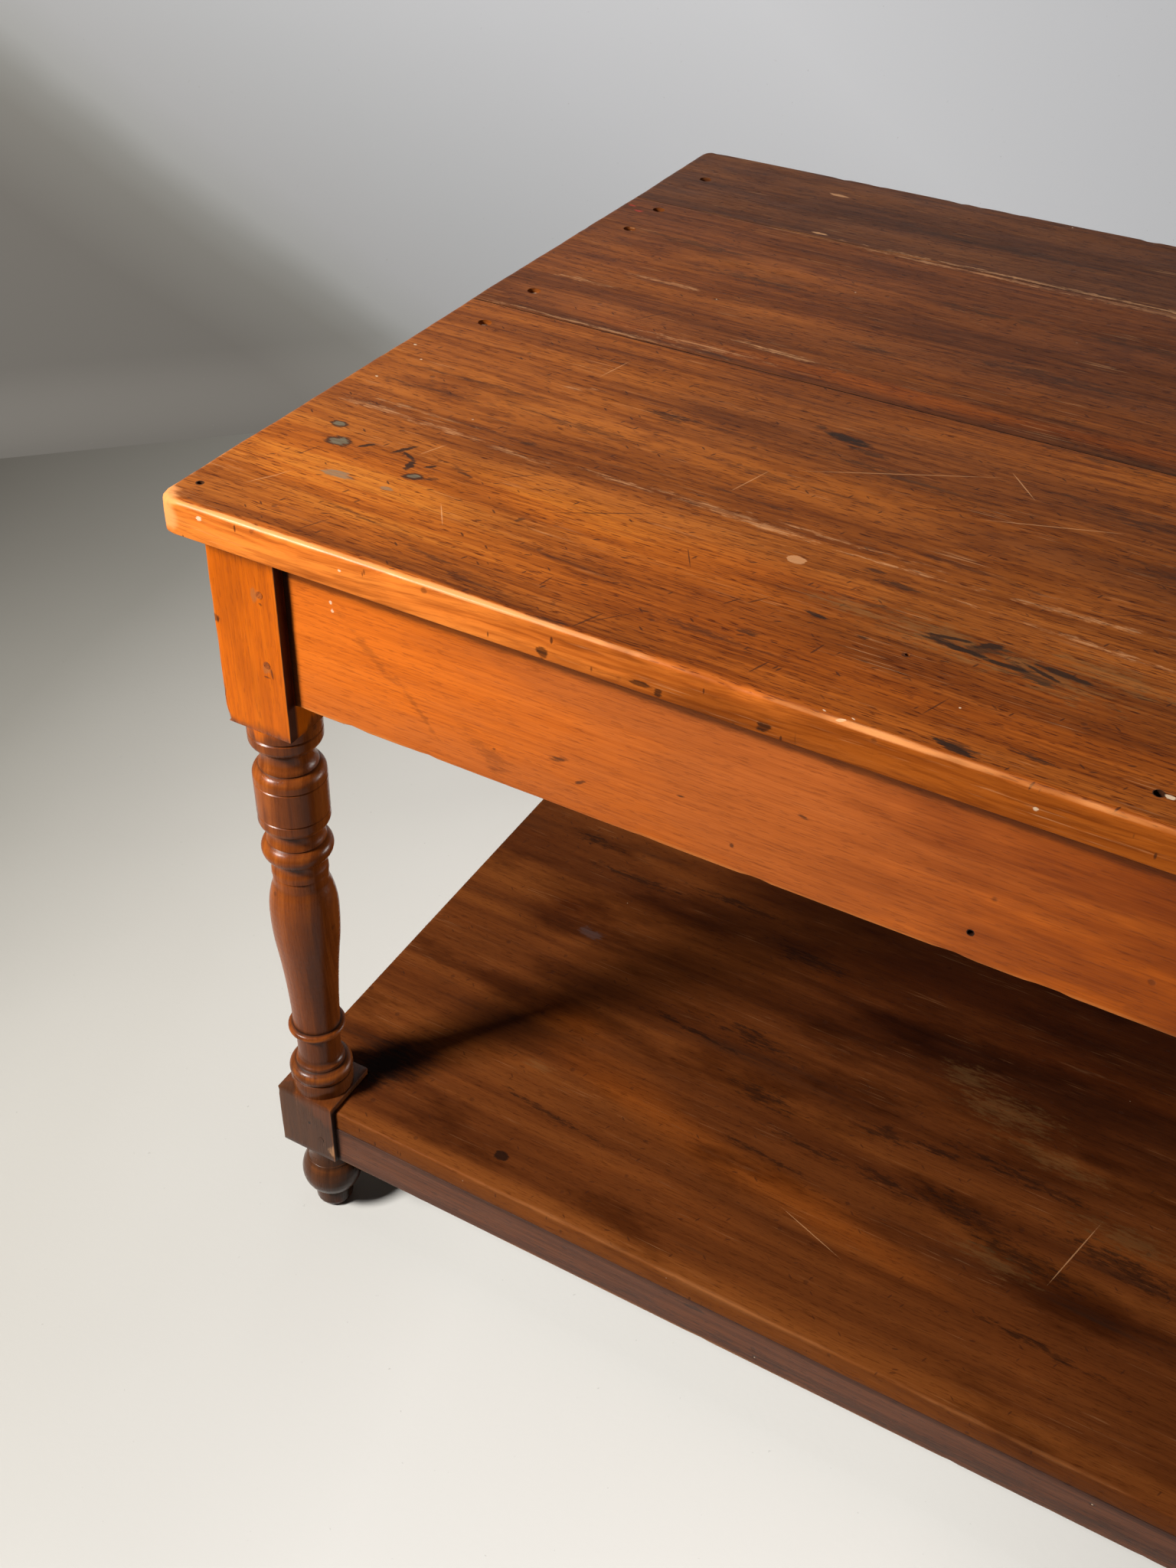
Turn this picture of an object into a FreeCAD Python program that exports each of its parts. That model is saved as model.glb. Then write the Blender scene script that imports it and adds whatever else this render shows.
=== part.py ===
import FreeCAD, Part
import os
import Sketcher

# Drapers table: a long three-board top on four turned legs, with a deep apron
# above and a boarded shelf above the feet. Millimetres, +Z up, front towards -Y,
# origin on the floor under the middle of the top.

doc = FreeCAD.newDocument("drapers_table")
sheet = doc.addObject("Spreadsheet::Sheet", "Sizes")

driving_sizes = (
    ("table_length", 2130, "top, end to end"),
    ("table_depth", 932, "top, front to back"),
    ("table_height", 850, "floor to top surface"),
    ("top_thickness", 29.5, "boards of the top"),
    ("front_overhang", 25.6, "top beyond the legs, front and back"),
    ("end_overhang", 19.5, "top beyond the legs at the ends"),
    ("front_board_width", 433, "front board of the top"),
    ("back_board_width", 180, "back board of the top"),
    ("corner_round", 13, "corners of the top in plan"),
    ("upper_arris", 8, "rounding of the top's upper edge"),
    ("lower_arris", 3.5, "bevel of the top's lower edge"),
    ("seam_bevel", 0.8, "worn arris along each seam of the top"),
    ("tongue_depth", 9, "tongue of a top board"),
    ("tongue_thickness", 8, "tongue of a top board"),
    ("joint_gap", 0.2, "play round tongues, tenons and pegs"),
    ("end_gap", 1.5, "play at the end of a tongue or tenon"),
    ("leg_square", 64, "stock of the legs"),
    ("block_below_apron", 31.4, "upper block below the apron"),
    ("apron_height", 153.7, "apron"),
    ("apron_thickness", 25, "apron"),
    ("apron_setback", 10, "apron behind the face of the legs"),
    ("tenon_thickness", 9, "tenons of aprons and rails"),
    ("tenon_length", 34, "tenons of aprons and rails"),
    ("tenon_shoulder", 12, "edge of an apron left off its tenon"),
    ("haunch_height", 32, "upper part of an apron tenon"),
    ("haunch_length", 12, "reach of that part"),
    ("floor_clearance", 105.4, "floor to the lower rails"),
    ("lower_rail_height", 48, "lower rails"),
    ("lower_rail_thickness", 28, "lower rails"),
    ("lower_rail_setback", 5, "rails behind the face of the legs"),
    ("rail_shoulder", 8, "edge of a rail left off its tenon"),
    ("shelf_thickness", 25, "boards of the shelf"),
    ("shelf_drop", 6.4, "shelf below the top of the foot blocks"),
    ("shelf_setback", 4.2, "shelf behind the face of the legs"),
    ("shelf_end_proud", 4.8, "shelf beyond the legs at the ends"),
    ("shelf_arris", 1.5, "rounding of the shelf's outer edges"),
    ("notch_gap", 1.0, "shelf round a foot block"),
    ("shelf_outer_width", 296, "front and back boards of the shelf"),
    ("peg_radius", 3.6, "draw-bore pegs, over their corners"),
    ("peg_length", 38, "draw-bore pegs"),
    ("peg_inset", 16, "peg behind the shoulder of its tenon"),
    ("bearer_width", 45, "cross bearers"),
    ("top_bearer_height", 58, "cross bearers under the top"),
    ("bearer_housing", 8, "stub of a bearer in its rail"),
    ("bearer_step", 6, "shoulder round the stub of a bearer"),
    ("bearer_spread", 690, "between the middles of the two bearers"),
    ("bore_radius", 6.2, "counterbore over a screw of the top"),
    ("bore_depth", 9.3, "counterbore over a screw of the top"),
    ("screw_head_radius", 5.2, "screws of the top"),
    ("screw_head_depth", 3.4, "screws of the top"),
    ("screw_radius", 2.4, "shank of a screw"),
    ("screw_length", 55, "screws of the top, under the head"),
    ("putty_thickness", 1.4, "filler on the head of a screw"),
    ("putty_gap", 0.2, "filler inside its counterbore"),
    ("glue_block_side", 26, "glue blocks under the top and the shelf"),
    ("glue_block_length", 90, "glue blocks under the top and the shelf"),
)


class Length:
    """A number with the spreadsheet formula that gives it."""

    def __init__(self, text, number):
        self.text = text
        self.number = number

    def __add__(self, other):
        return Length(f"({self.text} + {text_of(other)})", self.number + number_of(other))

    def __sub__(self, other):
        return Length(f"({self.text} - {text_of(other)})", self.number - number_of(other))

    def __mul__(self, other):
        return Length(f"({self.text} * {text_of(other)})", self.number * number_of(other))

    def __truediv__(self, other):
        return Length(f"({self.text} / {text_of(other)})", self.number / number_of(other))

    def __neg__(self):
        return self * -1

    def __rmul__(self, other):
        return self * other


def text_of(value):
    return value.text if isinstance(value, Length) else f"({value})"


def number_of(value):
    return value.number if isinstance(value, Length) else value


def hypotenuse(a, b):
    return Length(f"sqrt({a.text} ^ 2 + {b.text} ^ 2)", (a.number ** 2 + b.number ** 2) ** 0.5)


class Sizes:
    """The driving sizes, each written to its own cell and read back from it."""

    def __init__(self, rows):
        for number, (alias, value, note) in enumerate(rows, start=1):
            sheet.set(f"A{number}", note)
            sheet.set(f"B{number}", str(value))
            sheet.setAlias(f"B{number}", alias)
        doc.recompute()
        for alias, value, note in rows:
            setattr(self, alias, Length(f"Sizes.{alias}", float(sheet.get(alias))))


S = Sizes(driving_sizes)
zero = Length("0", 0.0)

# Heights above the floor
top_under = S.table_height - S.top_thickness
apron_bottom = top_under - S.apron_height
block_bottom = apron_bottom - S.block_below_apron
rail_top = S.floor_clearance + S.lower_rail_height
shelf_top = rail_top + S.shelf_thickness
foot_block_top = shelf_top + S.shelf_drop

# Places in plan: the legs' middles, and the middles of aprons and rails from there
leg_half = S.leg_square / 2
leg_x = S.table_length / 2 - S.end_overhang - leg_half
leg_y = S.table_depth / 2 - S.front_overhang - leg_half
apron_offset = leg_half - S.apron_setback - S.apron_thickness / 2
rail_offset = leg_half - S.lower_rail_setback - S.lower_rail_thickness / 2
span_x = leg_x - leg_half
span_y = leg_y - leg_half

# The pegs are riven with eight corners. Their heights are shares of the apron and
# of the lower rail.
peg_corners = 8
apron_peg_shares = (0.26, 0.68)
rail_peg_share = 0.55

# The top is three boards, tongued and grooved. Places of the screws over the end
# aprons are shares of the width of the board that holds them.
half_length = S.table_length / 2
half_depth = S.table_depth / 2
front_edge = -half_depth
back_edge = half_depth
front_seam = front_edge + S.front_board_width
back_seam = back_edge - S.back_board_width
front_screw_shares = (0.906,)
middle_screw_shares = (0.142, 0.735)
back_screw_shares = (0.505,)
lost_putty_shares = (0.937,)

# Places of the glue blocks along the long sides, as shares of the half span
glue_block_shares = (-0.78, -0.12, 0.12, 0.78)

# The shelf is three boards, the outer two notched round the foot blocks
shelf_half_depth = leg_y + leg_half - S.shelf_setback
shelf_seam = shelf_half_depth - S.shelf_outer_width

# How near, in millimetres, a point counts as lying on a face
touching = 1e-4

nodes = []


def run(a, b):
    """The stretch between two places, the lower one first."""
    return (a, b) if a.number <= b.number else (b, a)


def around(place, width):
    return (place - width / 2, place + width / 2)


def set_place(item, x, y, z):
    for axis, value in zip("xyz", (x, y, z)):
        item.setExpression(f"Placement.Base.{axis}", value.text)


def new_body(label, x=zero, y=zero, z=zero):
    body = doc.addObject("PartDesign::Body", label)
    body.Label = label
    set_place(body, x, y, z)
    nodes.append(body)
    return body


def add_box(body, name, x_run, y_run, z_run, kind="Additive"):
    box = body.newObject(f"PartDesign::{kind}Box", name)
    for size, stretch in zip(("Length", "Width", "Height"), (x_run, y_run, z_run)):
        box.setExpression(size, (stretch[1] - stretch[0]).text)
    set_place(box, x_run[0], y_run[0], z_run[0])
    return box


def cut_box(body, name, x_run, y_run, z_run):
    return add_box(body, name, x_run, y_run, z_run, "Subtractive")


def turn_to(item, axis, sign):
    """Turns a cylinder or cone that stands on +Z to run along another way."""
    ways = {
        ("x", 1): (FreeCAD.Vector(0, 1, 0), 90),
        ("x", -1): (FreeCAD.Vector(0, 1, 0), -90),
        ("y", 1): (FreeCAD.Vector(1, 0, 0), -90),
        ("y", -1): (FreeCAD.Vector(1, 0, 0), 90),
        ("z", 1): (FreeCAD.Vector(1, 0, 0), 0),
        ("z", -1): (FreeCAD.Vector(1, 0, 0), 180),
    }
    item.Placement = FreeCAD.Placement(FreeCAD.Vector(), FreeCAD.Rotation(*ways[axis, sign]))


def cut_hole(body, name, radius, depth, start, axis, sign):
    hole = body.newObject("PartDesign::SubtractiveCylinder", name)
    turn_to(hole, axis, sign)
    hole.setExpression("Radius", radius.text)
    hole.setExpression("Height", depth.text)
    set_place(hole, *start)
    return hole


def cut_peg_hole(body, name, depth, start, axis, sign):
    """An eight-sided hole, as the corners of a driven peg leave it."""
    hole = body.newObject("PartDesign::SubtractivePrism", name)
    turn_to(hole, axis, sign)
    hole.Polygon = peg_corners
    hole.setExpression("Circumradius", (S.peg_radius + S.joint_gap).text)
    hole.setExpression("Height", depth.text)
    set_place(hole, *start)
    return hole


def near(a, b):
    return abs(a - b) < touching


def edges_at(shape, test):
    """Names of the edges whose ends and middle all pass a test on a point."""
    found = []
    for number, edge in enumerate(shape.Edges, start=1):
        halfway = edge.valueAt((edge.FirstParameter + edge.LastParameter) / 2)
        points = [vertex.Point for vertex in edge.Vertexes] + [halfway]
        if all(test(point) for point in points):
            found.append(f"Edge{number}")
    return found


def dress(body, kind, size_name, size, base, edges):
    feature = body.newObject(f"PartDesign::{kind}", kind)
    feature.Base = (base, edges)
    feature.setExpression(size_name, size.text)
    doc.recompute()
    return feature


# A turned profile is a table of stations down the work. Each row holds the drop
# as a share of the turned length, the radius as a share of half the stock, and the
# bulge of the stretch that leads to it as a share of its chord: outwards above
# zero, hollow below it, straight at zero.
leg_profile_shares = (
    (0.0000, 1.000, 0.00),   # collar under the upper block
    (0.0425, 1.000, 0.00),
    (0.0610, 0.828, 0.10),   # ovolo under the collar
    (0.0610, 0.792, 0.00),
    (0.1060, 0.800, -0.05),  # hollow neck
    (0.1330, 1.000, 0.09),   # shoulder of the barrel
    (0.2320, 1.000, 0.00),
    (0.2565, 0.835, 0.10),   # lower round of the barrel
    (0.2565, 0.810, 0.00),
    (0.2945, 0.810, 0.00),
    (0.3360, 0.818, 0.29),   # large bead
    (0.3740, 0.785, -0.05),
    (0.4060, 0.785, 0.00),   # lip over the baluster
    (0.4855, 0.980, 0.045),  # baluster, its fullest part high
    (0.5750, 0.922, 0.014),
    (0.7805, 0.709, -0.011),
    (0.8130, 0.709, 0.00),
    (0.8130, 0.806, 0.00),   # thin ring
    (0.8295, 0.806, 0.08),
    (0.8295, 0.655, 0.00),
    (0.9035, 0.655, 0.00),
    (0.9280, 0.770, -0.09),  # flare on to the base
    (0.9625, 0.895, 0.22),   # base torus
    (0.9625, 0.925, 0.00),
    (1.0000, 0.925, 0.00),   # disc on the foot block
)
foot_profile_shares = (
    (0.0000, 0.772, 0.00),   # collar under the foot block
    (0.0400, 0.772, 0.00),
    (0.3200, 0.712, -0.05),  # hollow neck
    (0.3200, 0.740, 0.00),
    (0.7750, 0.605, 0.20),   # bun
    (0.9000, 0.605, 0.00),
    (1.0000, 0.425, 0.06),   # pad, rounded to the floor
)


def bulged_arc(start, end, bulge):
    """The arc from one sketch point to the next, and its radius over its chord."""
    chord = end - start
    outwards = FreeCAD.Vector(-chord.y, chord.x, 0)
    if outwards.x < 0:
        outwards = -outwards
    crown = (start + end) / 2 + outwards * bulge
    ratio = (1 + 4 * bulge ** 2) / (8 * abs(bulge))
    return Part.Arc(start, crown, end), ratio


def turned_sketch(body, name, shares, start_z, end_z):
    """The half section of a turned length, from its first station down to its last
    and closed along the axis."""
    length = start_z - end_z
    stations = [(zero, start_z, 0.0)]
    for drop_share, radius_share, bulge in shares:
        stations.append((leg_half * radius_share, start_z - length * drop_share, bulge))
    stations.append((zero, end_z, 0.0))

    sketch = body.newObject("Sketcher::SketchObject", name)
    plane = [item for item in body.Origin.OriginFeatures if item.Role == "XZ_Plane"][0]
    sketch.AttachmentSupport = (plane, [""])
    sketch.MapMode = "FlatFace"

    points = [FreeCAD.Vector(x.number, z.number, 0) for x, z, bulge in stations]
    ratios = {}
    for number, (x, z, bulge) in enumerate(stations[1:]):
        start, end = points[number], points[number + 1]
        if bulge:
            curve, ratios[number] = bulged_arc(start, end, bulge)
        else:
            curve = Part.LineSegment(start, end)
        sketch.addGeometry(curve, False)
    sketch.addGeometry(Part.LineSegment(points[-1], points[0]), False)

    def corner(curve, point):
        """Which end of a curve lies on a point: 1 for its start, 2 for its end."""
        start = sketch.getPoint(curve, 1)
        return 1 if (start - point).Length < (sketch.getPoint(curve, 2) - point).Length else 2

    last = len(points)
    for number, (x, z, bulge) in enumerate(stations):
        before = (number - 1) % last
        here = (number, corner(number, points[number]))
        there = (before, corner(before, points[number]))
        sketch.addConstraint(Sketcher.Constraint("Coincident", *there, *here))
        if x.number == 0:
            sketch.addConstraint(Sketcher.Constraint("PointOnObject", *here, -2))
        else:
            across = Sketcher.Constraint("DistanceX", -1, 1, *here, x.number)
            bind_constraint(sketch, across, f"radius{number}", x)
        if z.number == 0:
            sketch.addConstraint(Sketcher.Constraint("PointOnObject", *here, -1))
        else:
            up = Sketcher.Constraint("DistanceY", -1, 1, *here, z.number)
            bind_constraint(sketch, up, f"height{number}", z)
    for number, ratio in ratios.items():
        start, end = stations[number], stations[number + 1]
        radius = hypotenuse(end[0] - start[0], end[1] - start[1]) * ratio
        curve = Sketcher.Constraint("Radius", number, radius.number)
        bind_constraint(sketch, curve, f"curve{number}", radius)
    return sketch


def bind_constraint(sketch, constraint, name, length):
    number = sketch.addConstraint(constraint)
    sketch.renameConstraint(number, name)
    sketch.setExpression(f"Constraints.{name}", length.text)


def turn(body, sketch):
    turned = body.newObject("PartDesign::Revolution", f"{sketch.Name}_turned")
    turned.Profile = sketch
    turned.ReferenceAxis = (sketch, ["V_Axis"])
    turned.Angle = 360
    doc.recompute()
    return turned


def make_leg(label, side_x, side_y):
    """One leg, its axis on the local Z axis. side_x and side_y give its corner."""
    body = new_body(label, leg_x * side_x, leg_y * side_y)
    square = around(zero, S.leg_square)
    turn(body, turned_sketch(body, f"{label}_turning", leg_profile_shares, block_bottom,
                             foot_block_top))
    add_box(body, f"{label}_upper_block", square, square, (block_bottom, top_under))
    add_box(body, f"{label}_foot_block", square, square, (S.floor_clearance, foot_block_top))
    doc.recompute()
    turn(body, turned_sketch(body, f"{label}_foot", foot_profile_shares, S.floor_clearance, zero))

    def mortise(name, along, offset, reach, z_run):
        """A mortise from an inner face, along X or Y, for a tenon off the middle."""
        side_along, side_across = (side_x, side_y) if along == "x" else (side_y, side_x)
        deep = run(leg_half * -side_along, (leg_half - reach) * -side_along)
        wide = around(offset * side_across, S.tenon_thickness + S.joint_gap * 2)
        runs = (deep, wide) if along == "x" else (wide, deep)
        cut_box(body, f"{label}_{name}_{along}", *runs, z_run)

    def peg_hole(name, along, z):
        """The bore of a peg, from the outer face through the tenon."""
        inset = (leg_half - S.peg_inset) * (-side_x if along == "x" else -side_y)
        outer = leg_half * (side_y if along == "x" else side_x)
        start = (inset, outer, z) if along == "x" else (outer, inset, z)
        way = ("y", -side_y) if along == "x" else ("x", -side_x)
        cut_peg_hole(body, f"{label}_{name}_{along}", S.peg_length + S.end_gap, start, *way)

    for along in ("x", "y"):
        reach = S.tenon_length + S.end_gap
        mortise("apron_mortise", along, apron_offset, reach,
                (apron_bottom + S.tenon_shoulder - S.joint_gap, top_under - S.haunch_height))
        mortise("haunch_mortise", along, apron_offset, S.haunch_length + S.end_gap,
                (top_under - S.haunch_height, top_under))
        mortise("rail_mortise", along, rail_offset, reach,
                (S.floor_clearance + S.rail_shoulder - S.joint_gap,
                 rail_top - S.rail_shoulder + S.joint_gap))
        for number, share in enumerate(apron_peg_shares, start=1):
            peg_hole(f"apron_peg{number}", along, apron_bottom + S.apron_height * share)
        peg_hole("rail_peg", along, S.floor_clearance + S.lower_rail_height * rail_peg_share)
    doc.recompute()
    return body


def along_or_across(along, lengthways, crossways):
    return (lengthways, crossways) if along == "x" else (crossways, lengthways)


def make_apron(label, along, side):
    """One side of the apron with a haunched tenon at each end."""
    place = (leg_y if along == "x" else leg_x) * side + apron_offset * side
    half = span_x if along == "x" else span_y
    body = new_body(label, *along_or_across(along, zero, place))
    thick = around(zero, S.apron_thickness)
    thin = around(zero, S.tenon_thickness)
    add_box(body, f"{label}_panel", *along_or_across(along, (-half, half), thick),
            (apron_bottom, top_under))
    reach = half + S.tenon_length
    add_box(body, f"{label}_tenons", *along_or_across(along, (-reach, reach), thin),
            (apron_bottom + S.tenon_shoulder, top_under - S.haunch_height))
    reach = half + S.haunch_length
    add_box(body, f"{label}_haunches", *along_or_across(along, (-reach, reach), thin),
            (top_under - S.haunch_height, top_under))
    for end in (-1, 1):
        for number, share in enumerate(apron_peg_shares, start=1):
            peg_hole_in_tenon(body, f"{label}_peg{number}", along, (half + S.peg_inset) * end,
                              apron_bottom + S.apron_height * share)
    if along == "x":
        for bearer in (-1, 1):
            house_bearer(body, label, bearer, side, S.apron_thickness,
                         top_under - S.top_bearer_height + S.bearer_step, top_under)
    else:
        bite = S.screw_length - (S.top_thickness - S.bore_depth) + S.end_gap
        for x, y in top_screw_places:
            if x.number * side > 0:
                cut_hole(body, f"{label}_screw_bore", S.screw_radius + S.joint_gap, bite,
                         (zero, y, top_under), "z", -1)
    doc.recompute()
    return body


def peg_hole_in_tenon(body, name, along, place, z):
    start = (place, -S.tenon_thickness, z) if along == "x" else (-S.tenon_thickness, place, z)
    way = "y" if along == "x" else "x"
    cut_peg_hole(body, name, S.tenon_thickness * 2, start, way, 1)


def house_bearer(body, label, bearer, side, thickness, low, high):
    """The blind housing for the stub of a bearer, in the inner face of a side."""
    inner = thickness / 2 * -side
    bottom = (thickness / 2 - S.bearer_housing - S.end_gap) * -side
    stub = S.bearer_width - S.bearer_step * 2 + S.joint_gap * 2
    cut_box(body, f"{label}_housing", around(S.bearer_spread / 2 * bearer, stub),
            run(inner, bottom), (low - S.joint_gap, high))


def make_lower_rail(label, along, side):
    """One lower rail with a tenon at each end."""
    place = (leg_y if along == "x" else leg_x) * side + rail_offset * side
    half = span_x if along == "x" else span_y
    body = new_body(label, *along_or_across(along, zero, place))
    thick = around(zero, S.lower_rail_thickness)
    thin = around(zero, S.tenon_thickness)
    add_box(body, f"{label}_bar", *along_or_across(along, (-half, half), thick),
            (S.floor_clearance, rail_top))
    reach = half + S.tenon_length
    add_box(body, f"{label}_tenons", *along_or_across(along, (-reach, reach), thin),
            (S.floor_clearance + S.rail_shoulder, rail_top - S.rail_shoulder))
    for end in (-1, 1):
        peg_hole_in_tenon(body, f"{label}_peg", along, (half + S.peg_inset) * end,
                          S.floor_clearance + S.lower_rail_height * rail_peg_share)
    if along == "x":
        for bearer in (-1, 1):
            house_bearer(body, label, bearer, side, S.lower_rail_thickness,
                         S.floor_clearance + S.bearer_step, rail_top)
    doc.recompute()
    return body


def make_bearer(label, side, offset, thickness, low, high):
    """A cross bearer between the long sides, flush with their upper edges."""
    body = new_body(label, S.bearer_spread / 2 * side)
    half = leg_y + offset - thickness / 2
    reach = half + S.bearer_housing
    stub = S.bearer_width - S.bearer_step * 2
    add_box(body, f"{label}_bar", around(zero, S.bearer_width), (-half, half), (low, high))
    add_box(body, f"{label}_stubs", around(zero, stub), (-reach, reach),
            (low + S.bearer_step, high))
    doc.recompute()
    return body


def screw_row(front, back, shares):
    """Screw places on a board of the top, over both end aprons."""
    return [((leg_x + apron_offset) * end, front + (back - front) * share)
            for end in (-1, 1) for share in shares]


def board_sketch(body, name, front, back):
    """The outline of a top board."""
    sketch = body.newObject("Sketcher::SketchObject", name)
    plane = [item for item in body.Origin.OriginFeatures if item.Role == "XY_Plane"][0]
    sketch.AttachmentSupport = (plane, [""])
    sketch.MapMode = "FlatFace"
    corners = ((-half_length, front), (half_length, front), (half_length, back),
               (-half_length, back))
    points = [FreeCAD.Vector(x.number, y.number, 0) for x, y in corners]
    for number in range(4):
        sketch.addGeometry(Part.LineSegment(points[number], points[(number + 1) % 4]), False)
    for number in range(4):
        sketch.addConstraint(Sketcher.Constraint("Coincident", number, 2, (number + 1) % 4, 1))
        kind = "Horizontal" if number % 2 == 0 else "Vertical"
        sketch.addConstraint(Sketcher.Constraint(kind, number))
    for edge, kind, corner, length in (("left", "DistanceX", 0, corners[0][0]),
                                       ("right", "DistanceX", 2, corners[2][0]),
                                       ("front", "DistanceY", 0, corners[0][1]),
                                       ("back", "DistanceY", 2, corners[2][1])):
        gap = Sketcher.Constraint(kind, -1, 1, corner, 1, length.number)
        bind_constraint(sketch, gap, edge, length)
    return sketch


def make_top_board(label, front, back, screw_places):
    """A board of the top: a groove on its front seam, a tongue on its back seam."""
    body = new_body(label, z=top_under)
    outer_front = front is front_edge
    outer_back = back is back_edge
    sketch = board_sketch(body, f"{label}_outline", front, back)
    board = body.newObject("PartDesign::Pad", f"{label}_board")
    board.Profile = sketch
    board.setExpression("Length", S.top_thickness.text)
    doc.recompute()

    def off_seams(point):
        """Whether a point of an outer edge is clear of the seams, or at their ends."""
        on_front = near(point.y, front.number) and not outer_front
        on_back = near(point.y, back.number) and not outer_back
        inside = abs(point.x) < half_length.number
        return not (inside and (on_front or on_back))

    tip = board
    if outer_front or outer_back:
        edge_y = front.number if outer_front else back.number
        uprights = edges_at(board.Shape, lambda p: near(p.y, edge_y)
                            and near(abs(p.x), half_length.number))
        tip = dress(body, "Fillet", "Radius", S.corner_round, board, uprights)
    for kind, size_name, size, level in (("Fillet", "Radius", S.upper_arris, S.top_thickness),
                                         ("Chamfer", "Size", S.lower_arris, zero)):
        outer = edges_at(tip.Shape, lambda p: near(p.z, level.number) and off_seams(p))
        tip = dress(body, kind, size_name, size, tip, outer)
    for seam in (front, back):
        if seam not in (front_edge, back_edge):
            line = edges_at(tip.Shape, lambda p: near(p.z, S.top_thickness.number)
                            and near(p.y, seam.number))
            tip = dress(body, "Chamfer", "Size", S.seam_bevel, tip, line)

    level = around(S.top_thickness / 2, S.tongue_thickness)
    slot = around(S.top_thickness / 2, S.tongue_thickness + S.joint_gap * 2)
    full_length = (-half_length, half_length)
    if not outer_back:
        add_box(body, f"{label}_tongue", full_length, (back, back + S.tongue_depth), level)
    if not outer_front:
        cut_box(body, f"{label}_groove", full_length,
                (front, front + S.tongue_depth + S.end_gap), slot)
    for x, y in screw_places:
        cut_hole(body, f"{label}_counterbore", S.bore_radius, S.bore_depth,
                 (x, y, S.top_thickness), "z", -1)
        cut_hole(body, f"{label}_screw_bore", S.screw_radius + S.joint_gap, S.top_thickness,
                 (x, y, S.top_thickness), "z", -1)
    doc.recompute()
    return body


def make_shelf_board(label, front, back, notch_side):
    """A board of the shelf. The outer ones are notched round the foot blocks."""
    body = new_body(label, z=rail_top)
    half = leg_x + leg_half + S.shelf_end_proud
    board = add_box(body, f"{label}_board", (-half, half), (front, back),
                    (zero, S.shelf_thickness))
    doc.recompute()
    outer = edges_at(board.Shape, lambda p: near(p.z, S.shelf_thickness.number)
                     and (near(abs(p.x), half.number)
                          or near(abs(p.y), shelf_half_depth.number)))
    dress(body, "Fillet", "Radius", S.shelf_arris, board, outer)
    if notch_side:
        inner_x = leg_x - leg_half - S.notch_gap
        inner_y = (leg_y - leg_half - S.notch_gap) * notch_side
        outer_y = (shelf_half_depth + S.notch_gap) * notch_side
        for end in (-1, 1):
            cut_box(body, f"{label}_notch", run(inner_x * end, (half + S.notch_gap) * end),
                    run(inner_y, outer_y), (-S.notch_gap, S.shelf_thickness + S.notch_gap))
    doc.recompute()
    return body


def group(label, items):
    compound = doc.addObject("Part::Compound", label)
    compound.Label = label
    compound.Links = items
    nodes.append(compound)
    return compound


def make_peg(name, x, y, z, axis, sign):
    peg = doc.addObject("Part::Prism", name)
    turn_to(peg, axis, sign)
    peg.Polygon = peg_corners
    peg.setExpression("Circumradius", S.peg_radius.text)
    peg.setExpression("Height", S.peg_length.text)
    set_place(peg, x, y, z)
    return peg


def make_pegs(label, heights):
    """The pegs of every joint at the given heights, driven from the outer faces."""
    pegs = []
    inset = leg_half - S.peg_inset
    for side_x in (-1, 1):
        for side_y in (-1, 1):
            for z in heights:
                pegs.append(make_peg(f"{label}_long", (leg_x - inset) * side_x,
                                     (leg_y + leg_half) * side_y, z, "y", -side_y))
                pegs.append(make_peg(f"{label}_short", (leg_x + leg_half) * side_x,
                                     (leg_y - inset) * side_y, z, "x", -side_x))
    return group(label, pegs)


def make_top_screw(name, x, y):
    """A screw of the top, its head on the floor of the counterbore."""
    floor = S.table_height - S.bore_depth
    head = doc.addObject("Part::Cylinder", f"{name}_head")
    head.setExpression("Radius", S.screw_head_radius.text)
    head.setExpression("Height", S.screw_head_depth.text)
    set_place(head, x, y, floor)
    shank = doc.addObject("Part::Cylinder", f"{name}_shank")
    shank.setExpression("Radius", S.screw_radius.text)
    shank.setExpression("Height", S.screw_length.text)
    set_place(shank, x, y, floor - S.screw_length)
    screw = doc.addObject("Part::Fuse", name)
    screw.Base = head
    screw.Tool = shank
    return screw


def make_putty(name, x, y):
    """The filler that lies on the head of a screw, in the counterbore."""
    disc = doc.addObject("Part::Cylinder", name)
    disc.setExpression("Radius", (S.bore_radius - S.putty_gap).text)
    disc.setExpression("Height", S.putty_thickness.text)
    set_place(disc, x, y, S.table_height - S.bore_depth + S.screw_head_depth)
    return disc


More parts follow.
